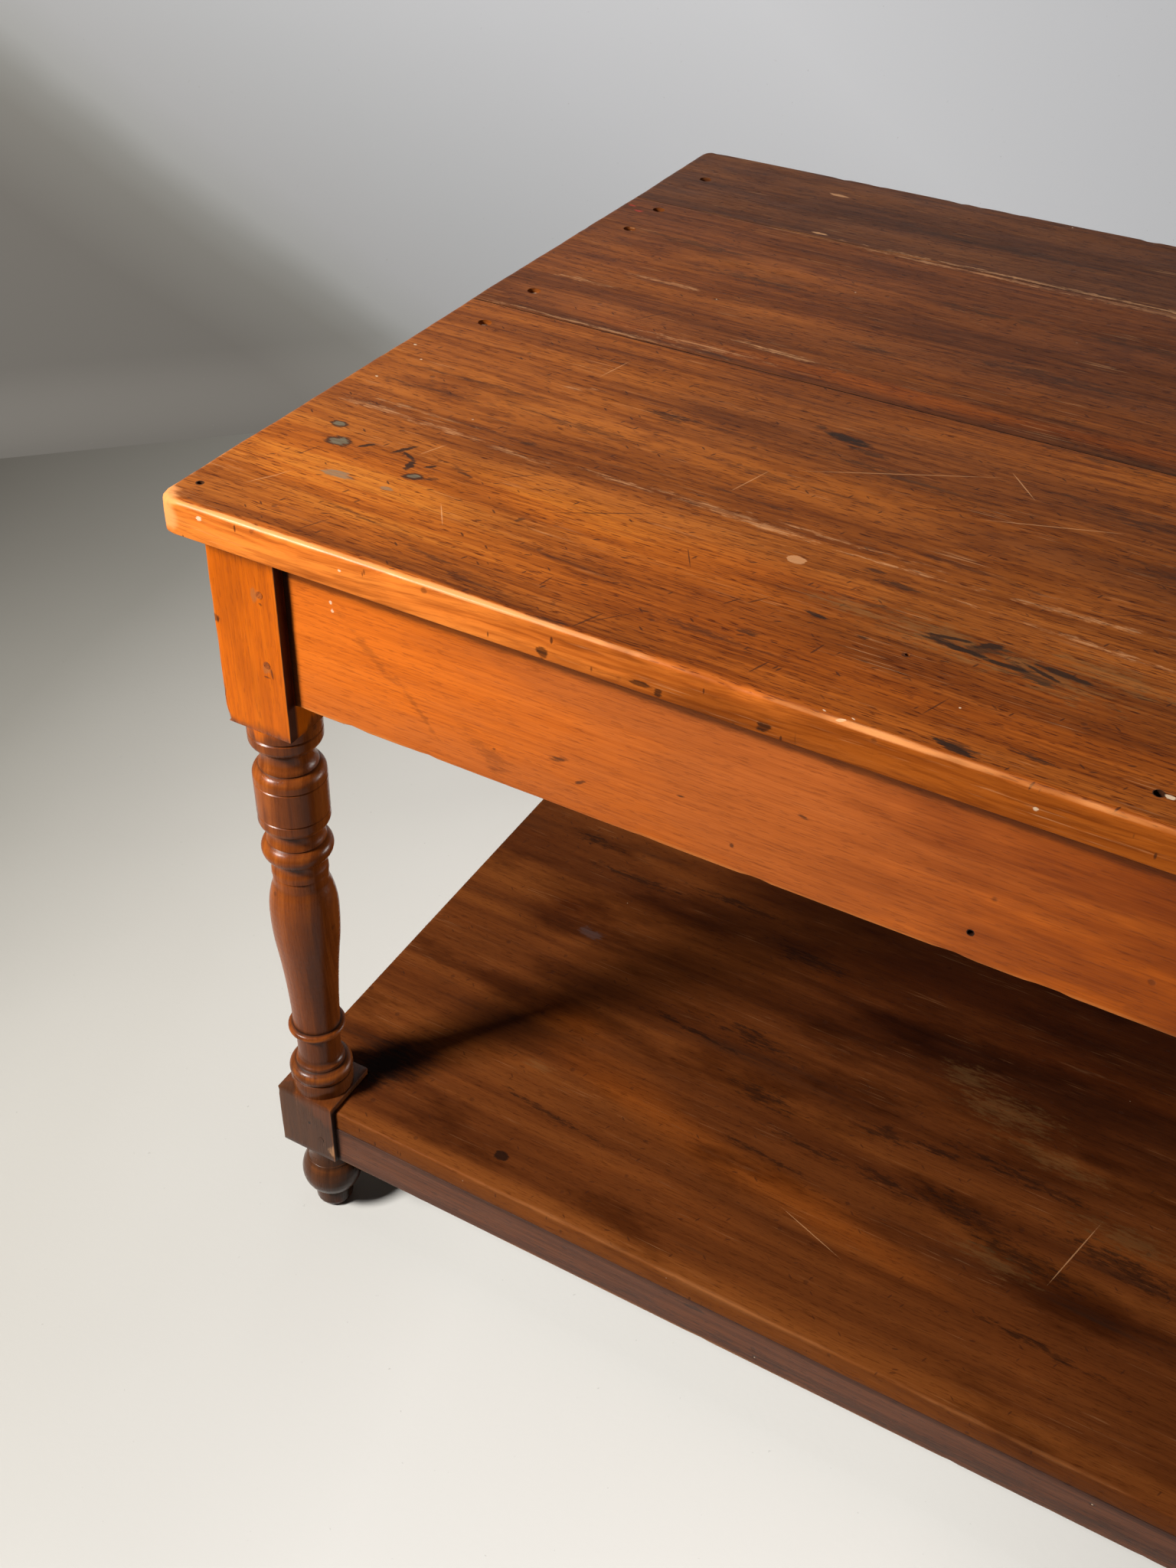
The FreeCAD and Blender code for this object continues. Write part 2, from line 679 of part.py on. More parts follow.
def make_glue_block(name, x, side, face, under):
    """A three-cornered block in the angle of a long side's inner face and the boards
    that lie on it. face is how far that face is from the middle, under its height."""
    sketch = doc.addObject("Sketcher::SketchObject", f"{name}_section")
    inner = face * side
    corners = ((inner, under), (inner - S.glue_block_side * side, under),
               (inner, under - S.glue_block_side))
    sketch.Placement = FreeCAD.Placement(FreeCAD.Vector(), FreeCAD.Rotation(
        FreeCAD.Vector(1, 1, 1), 120))
    points = [FreeCAD.Vector(y.number, z.number, 0) for y, z in corners]
    for number in range(3):
        sketch.addGeometry(Part.LineSegment(points[number], points[(number + 1) % 3]), False)
    for number, (y, z) in enumerate(corners):
        sketch.addConstraint(Sketcher.Constraint("Coincident", (number - 1) % 3, 2, number, 1))
        across = Sketcher.Constraint("DistanceX", -1, 1, number, 1, y.number)
        bind_constraint(sketch, across, f"across{number}", y)
        up = Sketcher.Constraint("DistanceY", -1, 1, number, 1, z.number)
        bind_constraint(sketch, up, f"up{number}", z)
    block = doc.addObject("Part::Extrusion", name)
    block.Base = sketch
    block.DirMode = "Custom"
    block.Dir = FreeCAD.Vector(1, 0, 0)
    block.Solid = True
    block.setExpression("LengthFwd", S.glue_block_length.text)
    block.setExpression("Placement.Base.x", (x - S.glue_block_length / 2).text)
    return block


front_screws = screw_row(front_edge, front_seam, front_screw_shares)
middle_screws = screw_row(front_seam, back_seam, middle_screw_shares)
lost_putty_screws = screw_row(front_seam, back_seam, lost_putty_shares)
back_screws = screw_row(back_seam, back_edge, back_screw_shares)
filled_screws = front_screws + middle_screws + back_screws
top_screw_places = filled_screws + lost_putty_screws

corners = (("front_left", -1, -1), ("front_right", 1, -1), ("back_left", -1, 1),
           ("back_right", 1, 1))
for corner, side_x, side_y in corners:
    make_leg(f"leg_{corner}", side_x, side_y)

sides = (("front", "x", -1), ("back", "x", 1), ("left", "y", -1), ("right", "y", 1))
for name, along, side in sides:
    make_apron(f"apron_{name}", along, side)
    make_lower_rail(f"lower_rail_{name}", along, side)

for name, side in (("left", -1), ("right", 1)):
    make_bearer(f"top_bearer_{name}", side, apron_offset, S.apron_thickness,
                top_under - S.top_bearer_height, top_under)
    make_bearer(f"shelf_bearer_{name}", side, rail_offset, S.lower_rail_thickness,
                S.floor_clearance, rail_top)

make_top_board("top_front_board", front_edge, front_seam, front_screws)
make_top_board("top_middle_board", front_seam, back_seam, middle_screws + lost_putty_screws)
make_top_board("top_back_board", back_seam, back_edge, back_screws)

make_shelf_board("shelf_front_board", -shelf_half_depth, -shelf_seam, -1)
make_shelf_board("shelf_middle_board", -shelf_seam, shelf_seam, 0)
make_shelf_board("shelf_back_board", shelf_seam, shelf_half_depth, 1)

make_pegs("apron_pegs", [apron_bottom + S.apron_height * share for share in apron_peg_shares])
make_pegs("rail_pegs", [S.floor_clearance + S.lower_rail_height * rail_peg_share])

group("top_screws", [make_top_screw("top_screw", x, y) for x, y in top_screw_places])
group("screw_putty", [make_putty("putty", x, y) for x, y in filled_screws])

for label, face, under in (
        ("glue_blocks", leg_y + apron_offset - S.apron_thickness / 2, top_under),
        ("shelf_glue_blocks", leg_y + rail_offset - S.lower_rail_thickness / 2, rail_top)):
    group(label, [make_glue_block(label[:-1], span_x * share, side, face, under)
                  for side in (-1, 1) for share in glue_block_shares])

doc.recompute()
for item in doc.Objects:
    if "Invalid" in item.State or "Error" in item.State:
        raise RuntimeError(f"{item.Label} failed: {item.State}")
for node in nodes:
    if node.Shape.isNull() or not node.Shape.isValid() or not node.Shape.Solids:
        raise RuntimeError(f"{node.Label} has no sound solid")

os.makedirs("parts", exist_ok=True)
for node in nodes:
    node.Shape.exportStep(f"parts/{node.Label}.step")
    print(node.Label, len(node.Shape.Solids), "solids", round(node.Shape.Volume / 1000), "cm3")
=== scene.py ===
# Drapers table: worn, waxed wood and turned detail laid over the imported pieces.
import math
import random
import bpy
import numpy as np
from mathutils import Matrix, Vector, noise


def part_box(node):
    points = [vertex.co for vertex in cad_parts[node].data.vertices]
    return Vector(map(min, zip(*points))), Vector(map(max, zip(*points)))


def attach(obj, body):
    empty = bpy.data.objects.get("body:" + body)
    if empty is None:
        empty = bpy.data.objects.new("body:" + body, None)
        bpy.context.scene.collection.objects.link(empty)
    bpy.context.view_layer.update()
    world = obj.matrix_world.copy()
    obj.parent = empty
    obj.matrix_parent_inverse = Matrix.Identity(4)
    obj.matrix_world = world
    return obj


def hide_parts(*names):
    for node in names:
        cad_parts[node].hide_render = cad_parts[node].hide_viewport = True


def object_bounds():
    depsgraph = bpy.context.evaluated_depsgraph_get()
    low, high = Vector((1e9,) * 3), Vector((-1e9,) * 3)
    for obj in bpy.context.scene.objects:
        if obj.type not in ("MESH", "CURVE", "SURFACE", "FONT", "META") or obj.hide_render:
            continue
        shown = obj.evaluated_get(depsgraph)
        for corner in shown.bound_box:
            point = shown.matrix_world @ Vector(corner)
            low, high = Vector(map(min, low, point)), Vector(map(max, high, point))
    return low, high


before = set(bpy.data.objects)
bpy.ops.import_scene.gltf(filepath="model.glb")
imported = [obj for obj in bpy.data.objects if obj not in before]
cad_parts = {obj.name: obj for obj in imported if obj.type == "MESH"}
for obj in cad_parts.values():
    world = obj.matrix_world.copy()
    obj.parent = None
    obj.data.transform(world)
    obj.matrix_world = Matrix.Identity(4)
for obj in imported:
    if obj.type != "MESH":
        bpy.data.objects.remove(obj)        # bodies, nodes, joints and the record, all in metres
cadLow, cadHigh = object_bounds()
mm = 0.001
body = "root"
print("frame loaded with", len(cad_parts), "nodes")


# Colours, written as they are seen on a screen, 0 to 255

def tone(red, green, blue):
    levels = [c / 255 for c in (red, green, blue)]
    return tuple(((c + 0.055) / 1.055) ** 2.4 if c > 0.04 else c / 12.92 for c in levels) + (1.0,)


palettes = {             # dark, middle and light of each finish
    "honey": (tone(144, 70, 14), tone(178, 96, 28), tone(196, 119, 42)),
    "edgeHoney": (tone(206, 108, 36), tone(226, 128, 50), tone(238, 148, 68)),
    "orange": (tone(130, 62, 16), tone(164, 84, 24), tone(188, 104, 36)),
    "redBrown": (tone(96, 47, 16), tone(138, 74, 26), tone(170, 97, 38)),
    "umber": (tone(72, 36, 15), tone(102, 54, 23), tone(126, 70, 32)),
    "smoky": (tone(68, 36, 17), tone(94, 53, 27), tone(114, 68, 37)),
    "apron": (tone(188, 90, 20), tone(210, 106, 28), tone(222, 118, 38)),
    "apronMid": (tone(158, 80, 31), tone(177, 93, 40), tone(190, 103, 49)),
    "apronRed": (tone(106, 46, 12), tone(127, 57, 15), tone(143, 69, 22)),
    "block": (tone(154, 68, 0), tone(200, 95, 0), tone(218, 114, 4)),
    "turned": (tone(70, 31, 10), tone(124, 61, 20), tone(178, 97, 36)),
    "footWood": (tone(50, 27, 12), tone(78, 45, 24), tone(102, 63, 36)),
    "shelf": (tone(72, 34, 14), tone(102, 53, 22), tone(130, 72, 30)),
    "shelfDarkAndShade": (tone(40, 16, 6), tone(62, 26, 8), tone(84, 38, 12)),
    "rail": (tone(72, 38, 20), tone(100, 56, 32), tone(120, 72, 44)),
    "bare": (tone(104, 76, 48), tone(142, 108, 72), tone(168, 134, 94)),
}
ink = tone(40, 27, 20)
sootAndShadow = tone(26, 16, 12)
greyGreen = tone(116, 108, 88)
blueGrey = tone(78, 70, 70)
chalk = tone(130, 98, 58)
pale = tone(222, 166, 116)
bareEdgeAndHighlight = tone(226, 150, 88)
whiteFleck = tone(228, 204, 172)
redInk = tone(176, 52, 40)
deepBrown = tone(58, 30, 18)
black = tone(0, 0, 0)


# Node trees from Python expressions

class Wire:              # one socket, which arithmetic works on
    def __init__(self, graph, socket):
        self.graph = graph
        self.socket = socket

    def __add__(self, other):
        return self.graph.math("ADD", self, other)

    def __sub__(self, other):
        return self.graph.math("SUBTRACT", self, other)

    def __rsub__(self, other):
        return self.graph.math("SUBTRACT", other, self)

    def __mul__(self, other):
        return self.graph.math("MULTIPLY", self, other)

    def __truediv__(self, other):
        return self.graph.math("DIVIDE", self, other)

    def __pow__(self, other):
        return self.graph.math("POWER", self, other)

    __radd__ = __add__
    __rmul__ = __mul__


class Graph:
    def __init__(self, tree):
        self.tree = tree

    def node(self, kind, settings=None, sockets=None, output=0):
        made = self.tree.nodes.new(kind)
        for key, value in (settings or {}).items():
            if key == "stops":
                for spare in range(len(value) - 2):
                    made.color_ramp.elements.new(0.5)
                for stop, (at, colour) in zip(made.color_ramp.elements, value):
                    stop.position = at
                    stop.color = colour
            else:
                setattr(made, key, value)
        for key, value in (sockets or {}).items():
            if isinstance(value, Wire):
                self.tree.links.new(value.socket, made.inputs[key])
            else:
                made.inputs[key].default_value = value
        return Wire(self, made.outputs[output]) if len(made.outputs) else made

    def math(self, operation, *values):
        return self.node("ShaderNodeMath", {"operation": operation}, dict(enumerate(values)))

    def join(self, x, y, z):
        return self.node("ShaderNodeCombineXYZ", None, {0: x, 1: y, 2: z})

    def split(self, vector):
        return [self.node("ShaderNodeSeparateXYZ", None, {0: vector}, n) for n in range(3)]

    def noise(self, vector, scale=1.0, detail=2.0, rough=0.5, twist=0.0, output=0):
        values = {"Vector": vector, "Scale": scale, "Detail": detail, "Roughness": rough, "Distortion": twist}
        return self.node("ShaderNodeTexNoise", None, values, output)

    def fade(self, value, start, end):       # 0 at start, 1 at end, either way round
        values = {"Value": value, "From Min": start, "From Max": end}
        return self.node("ShaderNodeMapRange", {"interpolation_type": "SMOOTHSTEP"}, values)

    def blend(self, amount, first, second, way="MIX"):
        settings = {"data_type": "RGBA", "blend_type": way}
        return self.node("ShaderNodeMix", settings, {0: amount, 6: first, 7: second}, 2)

    def shown(self):         # 1 for what the camera sees, straight or in a reflection or through glass
        rays = [self.node("ShaderNodeLightPath", None, None, f"Is {kind} Ray")
                for kind in ("Camera", "Glossy", "Transmission")]
        return self.math("MINIMUM", rays[0] + rays[1] + rays[2], 1.0)

    def ramp(self, value, colours):
        stops = [(n / (len(colours) - 1), colour) for n, colour in enumerate(colours)]
        return self.node("ShaderNodeValToRGB", {"stops": stops}, {0: value})


class Finish(Graph):     # a material of this table
    def __init__(self, name):
        self.material = bpy.data.materials.new(name)
        self.material.use_nodes = True
        super().__init__(self.material.node_tree)
        self.tree.nodes.clear()
        self.place = self.node("ShaderNodeTexCoord", None, None, "Object")

    def local(self, at, turn, size):
        # places measured from another one, which has a turn and a size of its own
        values = {"Vector": self.place, "Location": at, "Rotation": turn, "Scale": size}
        return self.node("ShaderNodeMapping", {"vector_type": "TEXTURE"}, values)

    def near(self, at, size, turn=(0, 0, 0)):
        # 1 at the middle of an ellipsoid, falling to 0 at its edge
        vector = self.local(at, turn, size)
        return self.node("ShaderNodeTexGradient", {"gradient_type": "SPHERICAL"}, {"Vector": vector}, "Fac")

    def cells(self, vector, scale=1.0):
        # how far the nearest random point is, and the three random numbers of its cell
        values = {"Vector": vector, "Scale": scale}
        chances = self.split(self.node("ShaderNodeTexVoronoi", None, values, "Color"))
        return self.node("ShaderNodeTexVoronoi", None, values, "Distance"), chances

    def union(self, masks):
        joined = masks[0]
        for mask in masks[1:]:
            joined = self.math("MAXIMUM", joined, mask)
        return joined

    def facingUp(self):
        return self.split(self.node("ShaderNodeNewGeometry", None, None, "True Normal"))[2]

    def tinted(self, colour, amount, kind):
        return self.blend(amount, colour, woodTints[kind], "MULTIPLY")

    def painted(self, name):
        return self.node("ShaderNodeAttribute", {"attribute_name": name}, None, "Fac")

    def surface(self, colour, rough, normal=None, coat=0.0, metal=0.0, shine=0.3):
        values = {"Base Color": colour, "Roughness": rough, "Coat Weight": coat, "Metallic": metal}
        values["Coat Roughness"] = 0.25
        values["Specular IOR Level"] = shine
        if normal:
            values["Normal"] = normal
        shader = self.node("ShaderNodeBsdfPrincipled", None, values)
        self.node("ShaderNodeOutputMaterial", None, {"Surface": shader})
        return self.material


# Wood: one description for every board, stick and rail

grainOrder = {"x": (0, 1, 2), "y": (1, 0, 2), "z": (2, 0, 1)}
woodLook = {
    "grain": "x",
    "palette": "redBrown",
    "heart": (0.0, -0.11),       # where the log's heart lies, across and deep of the piece's own middle
    "middle": (0.0, 0.0),
    "wander": 0.05,
    "contrast": 0.85,
    "weights": (0.55, 0.3, 0.15),    # wide, middle and narrow grain in the figure
    "fine": 0.55,
    "pores": 0.6,
    "stain": 0.25,
    "blotch": 0.25,
    "streak": 0.2,
    "scratch": 0.35,
    "ticks": 0.0,
    "clefts": 0.4,
    "hairs": 0.0,
    "edgeCoat": 0.0,
    "calmSides": 0.0,            # how much of the pores and clefts the upright faces lose
    "shine": 0.3,
    "zones": (),                 # (palette, strength, softness, [(place, size, turn)])
    "marks": (),                 # (colour, strength, softness, raggedness, grain share, same list)
    "edge": pale,
    "edgeAmount": 0.8,
    "underside": None,
    "rough": 0.42,
    "coat": 0.0,
    "bump": 0.35,
    "turnAxis": 2,
}
woodTints = {                # what each kind of grain multiplies the colour under it by
    "dull": (0.36, 0.30, 0.28, 1.0),
    "bright": (1.45, 1.4, 1.2, 1.0),
    "strand": (0.62, 0.52, 0.46, 1.0),
    "line": (0.5, 0.42, 0.38, 1.0),
    "pore": (0.3, 0.22, 0.2, 1.0),
    "cleft": (0.40, 0.30, 0.26, 1.0),
}
spotRoom = 1.45              # how far past its own edge a spot's ragged outline may run


def aboutAxis(axis, angle):
    return [angle if n == axis else 0.0 for n in range(3)]


def spots(finish, places, axis, ragged, soft):
    # the union of several ellipsoids; each place is x, y, z, three half sizes and a turn, in mm and degrees
    joined = finish.union([
        finish.near([n * mm for n in at], [n * mm * spotRoom for n in size], aboutAxis(axis, math.radians(turn)))
        for at, size, turn in places
    ])
    rim = 1 - 1 / spotRoom
    return finish.fade(joined - ragged / spotRoom, rim, rim + soft / spotRoom) * finish.fade(joined, 0.0, 0.1)


def wood(name, **changes):
    look = {**woodLook, **changes}
    finish = Finish(name)
    sides = finish.split(finish.place)
    along, across, deep = [sides[n] for n in grainOrder[look["grain"]]]
    across = across - look["middle"][0]
    deep = deep - look["middle"][1]
    drift = finish.noise(finish.join(along * 1.3, across * 3.0, deep * 3.0), detail=2.0) - 0.5
    sway = across - look["heart"][0] + drift * look["wander"]
    depth = deep - look["heart"][1]
    ring = (sway ** 2.0 + depth ** 2.0) ** 0.5

    broad = finish.noise(finish.join(along * 0.9, ring * 24.0, across * 5.0), detail=3.0, rough=0.55)
    middle = finish.noise(finish.join(along * 3.6, ring * 150.0, across * 14.0), detail=3.0, rough=0.6)
    fine = finish.noise(finish.join(along * 22.0, ring * 900.0, across * 90.0), detail=2.0, rough=0.6)
    streaks = finish.noise(finish.join(along * 9.0, ring * 380.0, across * 40.0), detail=2.0, rough=0.6)
    wide, narrow, hairline = look["weights"]
    spread = 0.17 / look["contrast"]
    figure = finish.fade(broad * wide + middle * narrow + streaks * hairline, 0.5 - spread, 0.5 + spread)
    colour = finish.ramp(figure, palettes[look["palette"]])

    cloud = finish.noise(finish.join(along * 5.0, across * 22.0, deep * 22.0), detail=4.0, rough=0.6)
    ragged = (cloud - 0.5) * 1.5
    crumb = finish.noise(finish.join(along * 55.0, across * 240.0, deep * 240.0), detail=4.0, rough=0.7)
    torn = (crumb - 0.5) * 3.0
    bristle = finish.noise(finish.join(along * 16.0, across * 520.0, deep * 520.0), detail=3.0, rough=0.6)
    bristled = finish.fade(bristle, 0.42, 0.60)
    for palette, strength, soft, places in look["zones"]:
        mask = spots(finish, places, look["turnAxis"], ragged, soft)
        colour = finish.blend(mask * strength, colour, finish.ramp(figure, palettes[palette]))

    # smoky and bright blotches, larger than the grain
    smudge = finish.noise(finish.join(along * 4.2 + 5.0, across * 13.0, deep * 13.0), detail=5.0, rough=0.62)
    dull = finish.fade(smudge, 0.5, 0.66) * look["blotch"]
    colour = finish.tinted(colour, dull, "dull")
    bright = finish.fade(smudge, 0.46, 0.34) * look["blotch"] * 0.5
    colour = finish.tinted(colour, bright, "bright")

    # fine lines and short dark pores along the grain
    strands = finish.fade(streaks, 0.5, 0.36)
    colour = finish.tinted(colour, strands * look["fine"] * 0.8, "strand")
    lines = finish.fade(fine, 0.56, 0.34)
    colour = finish.tinted(colour, lines * look["fine"], "line")
    calm = 1.0
    if look["calmSides"]:
        calm = finish.fade(finish.facingUp(), 0.3, 0.8) * look["calmSides"] + (1 - look["calmSides"])
    dash = finish.noise(finish.join(along * 85.0, across * 900.0, deep * 900.0), detail=1.0)
    pores = finish.fade(dash, 0.60, 0.67)
    colour = finish.tinted(colour, pores * look["pores"] * calm, "pore")
    cleft = finish.noise(finish.join(along * 30.0, across * 330.0 + 3.0, deep * 330.0), 1.0, 3.0, 0.65)
    clefts = finish.fade(cleft, 0.60, 0.69)
    colour = finish.tinted(colour, clefts * look["clefts"] * calm, "cleft")
    hairs = finish.fade(bristle, 0.60, 0.72) * finish.fade(cloud, 0.44, 0.62)
    colour = finish.blend(hairs * look["hairs"], colour, pale)

    # blue-black stains that follow the grain, and pale streaks rubbed through the finish
    blot = finish.noise(finish.join(along * 2.6, ring * 34.0, across * 12.0 + 7.0), detail=4.0, rough=0.62)
    stain = finish.fade(blot, 0.60, 0.74)
    colour = finish.blend(stain * look["stain"], colour, ink)
    rub = finish.noise(finish.join(along * 4.5 + 3.0, across * 46.0, deep * 46.0), detail=5.0, rough=0.7)
    rubbed = finish.fade(rub, 0.62, 0.78)
    colour = finish.blend(rubbed * look["streak"], colour, pale)

    # hairline scratches in two slanting directions
    masks = []
    for turn, shift in ((0.5, 3.0), (-0.9, 11.0)):
        turned = finish.local((shift,) * 3, aboutAxis(look["turnAxis"], turn), (0.035, 0.0016, 0.035))
        masks.append(finish.fade(finish.noise(turned, detail=1.0, twist=0.4), 0.74, 0.82))
    hair = finish.union(masks)
    some = finish.fade(cloud, 0.5, 0.7)
    colour = finish.blend(hair * some * look["scratch"], colour, deepBrown)

    # short knocks and cuts, dents and flecks
    masks = []
    for turn, shift in ((0.35, 1.0), (1.15, 5.0), (-0.7, 9.0)):
        turned = finish.local((shift,) * 3, aboutAxis(look["turnAxis"], turn), (0.022, 0.006, 0.022))
        gap, odds = finish.cells(turned)
        masks.append(finish.fade(gap, 0.17, 0.09) * finish.fade(odds[0], 0.80, 0.86))
    colour = finish.blend(finish.union(masks) * look["ticks"], colour, deepBrown)
    nearest, chance = finish.cells(finish.place, 46.0)
    dents = finish.fade(nearest + torn * 0.05, 0.15, 0.07) * finish.fade(chance[0], 0.80, 0.86)
    colour = finish.blend(dents * 0.45, colour, deepBrown)
    flecks = finish.fade(nearest + torn * 0.02, 0.045, 0.03) * finish.fade(chance[1], 0.96, 0.97)
    colour = finish.blend(flecks * 0.8, colour, whiteFleck)

    for shade, strength, soft, rag, grainy, places in look["marks"]:
        mask = spots(finish, places, look["turnAxis"], torn * rag, soft)
        if grainy:
            mask = mask * (bristled * grainy + (1 - grainy))
        colour = finish.blend(mask * strength, colour, shade)

    # arrises rubbed pale, partly a painted highlight on the top's front arris; dirt in grooves and seams, with
    # painted shade under the top and beside the leg blocks
    wearAndHighlight = finish.painted("worn")
    patchy = finish.fade(cloud * 0.6 + middle * 0.4, 0.36, 0.62)
    baredAndHighlight = finish.fade(wearAndHighlight + (patchy - 0.6) * 0.8, 0.25, 1.0)
    colour = finish.blend(baredAndHighlight * look["edgeAmount"], colour, look["edge"])
    grimeAndShadeMask = finish.painted("grime")
    colour = finish.blend(grimeAndShadeMask, colour, sootAndShadow)

    if look["underside"]:
        below = finish.fade(finish.facingUp(), -0.7, -0.9)
        colour = finish.blend(below, colour, finish.ramp(figure, palettes[look["underside"]]))

    rough = look["rough"] + (cloud - 0.5) * 0.3 + stain * 0.1 + baredAndHighlight * 0.12 + grimeAndShadeMask * 0.2 - lines * 0.03
    height = fine * 0.25 + middle * 0.2 - strands * 0.1 - pores * 0.5 - dents * 1.2 - hair * some * 0.6
    values = {"Strength": look["bump"], "Distance": 0.0006, "Height": height}
    normal = finish.node("ShaderNodeBump", None, values)
    coat = wearAndHighlight * look["edgeCoat"] + look["coat"] if look["edgeCoat"] else look["coat"]
    return finish.surface(colour, rough, normal, coat, shine=look["shine"])


# Meshes

def smooth(mesh, sharp=35.0):
    mesh.polygons.foreach_set("use_smooth", [True] * len(mesh.polygons))
    mesh.set_sharp_from_angle(angle=math.radians(sharp))


def pieceFrom(name, vertices, faces, material, sharp=35.0):
    mesh = bpy.data.meshes.new(name)
    mesh.from_pydata([tuple(v) for v in vertices], [], [tuple(f) for f in faces])
    mesh.validate()
    smooth(mesh, sharp)
    mesh.materials.append(material)
    made = bpy.data.objects.new(name, mesh)
    bpy.context.collection.objects.link(made)
    return made


def points(piece):
    numbers = np.empty(len(piece.data.vertices) * 3)
    piece.data.vertices.foreach_get("co", numbers)
    return numbers.reshape(-1, 3)


def setPoints(piece, places):
    piece.data.vertices.foreach_set("co", places.reshape(-1))
    piece.data.update()


def paint(piece, name, values):
    layer = piece.data.attributes.new(name, "FLOAT", "POINT")
    layer.data.foreach_set("value", np.clip(values, 0.0, 1.0))


def settle(piece):
    # the evaluated mesh takes the place of the modifiers
    graph = bpy.context.evaluated_depsgraph_get()
    mesh = bpy.data.meshes.new_from_object(piece.evaluated_get(graph))
    piece.modifiers.clear()
    piece.data = mesh


def dress(piece, slot, *nodes):
    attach(piece, body)
    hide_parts(*nodes)
    print("made", piece.name, "with", len(piece.data.polygons), "faces")


def ease(value, start, end):
    t = np.clip((value - start) / (end - start), 0.0, 1.0)
    return t * t * (3.0 - 2.0 * t)


def waves(value, seed, lengths=(0.9, 0.41, 0.17, 0.06)):
    # a smooth uneven line between -1 and 1, the longest wave first
    draw = random.Random(seed)
    total = np.zeros_like(value)
    for n, length in enumerate(lengths):
        total += np.sin(value * math.tau / length + draw.uniform(0, math.tau)) / (1.6 ** n)
    return total / sum(1.6 ** -n for n in range(len(lengths)))


def cloudy(places, scale, seed):
    # one value of soft noise, -1 to 1, at each place
    shift = Vector((seed * 7.3, seed * 3.1, seed * 1.7))
    return np.array([noise.noise(Vector(p) * scale + shift) for p in places])


def stations(start, end, cell, edge):
    # grid lines, close together near both ends where arrises and corners are
    inner = np.linspace(start + edge, end - edge, max(2, round((end - start - 2 * edge) / cell) + 1))
    near = np.array([0.0, 0.25, 0.5]) * edge
    return np.concatenate([start + near, inner, (end - near)[::-1]])


def roundCorners(u, v, sides, radii):
    # pulls a rectangle's corners in to arcs; rings further in get smaller arcs
    lowU, highU, lowV, highV = sides
    corners = ((lowU, 1, lowV, 1), (highU, -1, lowV, 1), (highU, -1, highV, -1), (lowU, 1, highV, -1))
    for (edgeU, signU, edgeV, signV), radius in zip(corners, radii):
        a = (u - edgeU) * signU
        b = (v - edgeV) * signV
        inset = np.minimum(a, b)
        arc = radius - inset
        here = (a < radius) & (b < radius) & (arc > 0)
        da = a - inset - arc
        db = b - inset - arc
        size = np.maximum(np.hypot(da, db), 1e-9)
        u = np.where(here, edgeU + signU * (inset + arc + da / size * arc), u)
        v = np.where(here, edgeV + signV * (inset + arc + db / size * arc), v)
    return u, v


slabBends = {"low": (90, 60, 30, 0), "high": (0, 15, 30, 45, 60, 75, 90)}


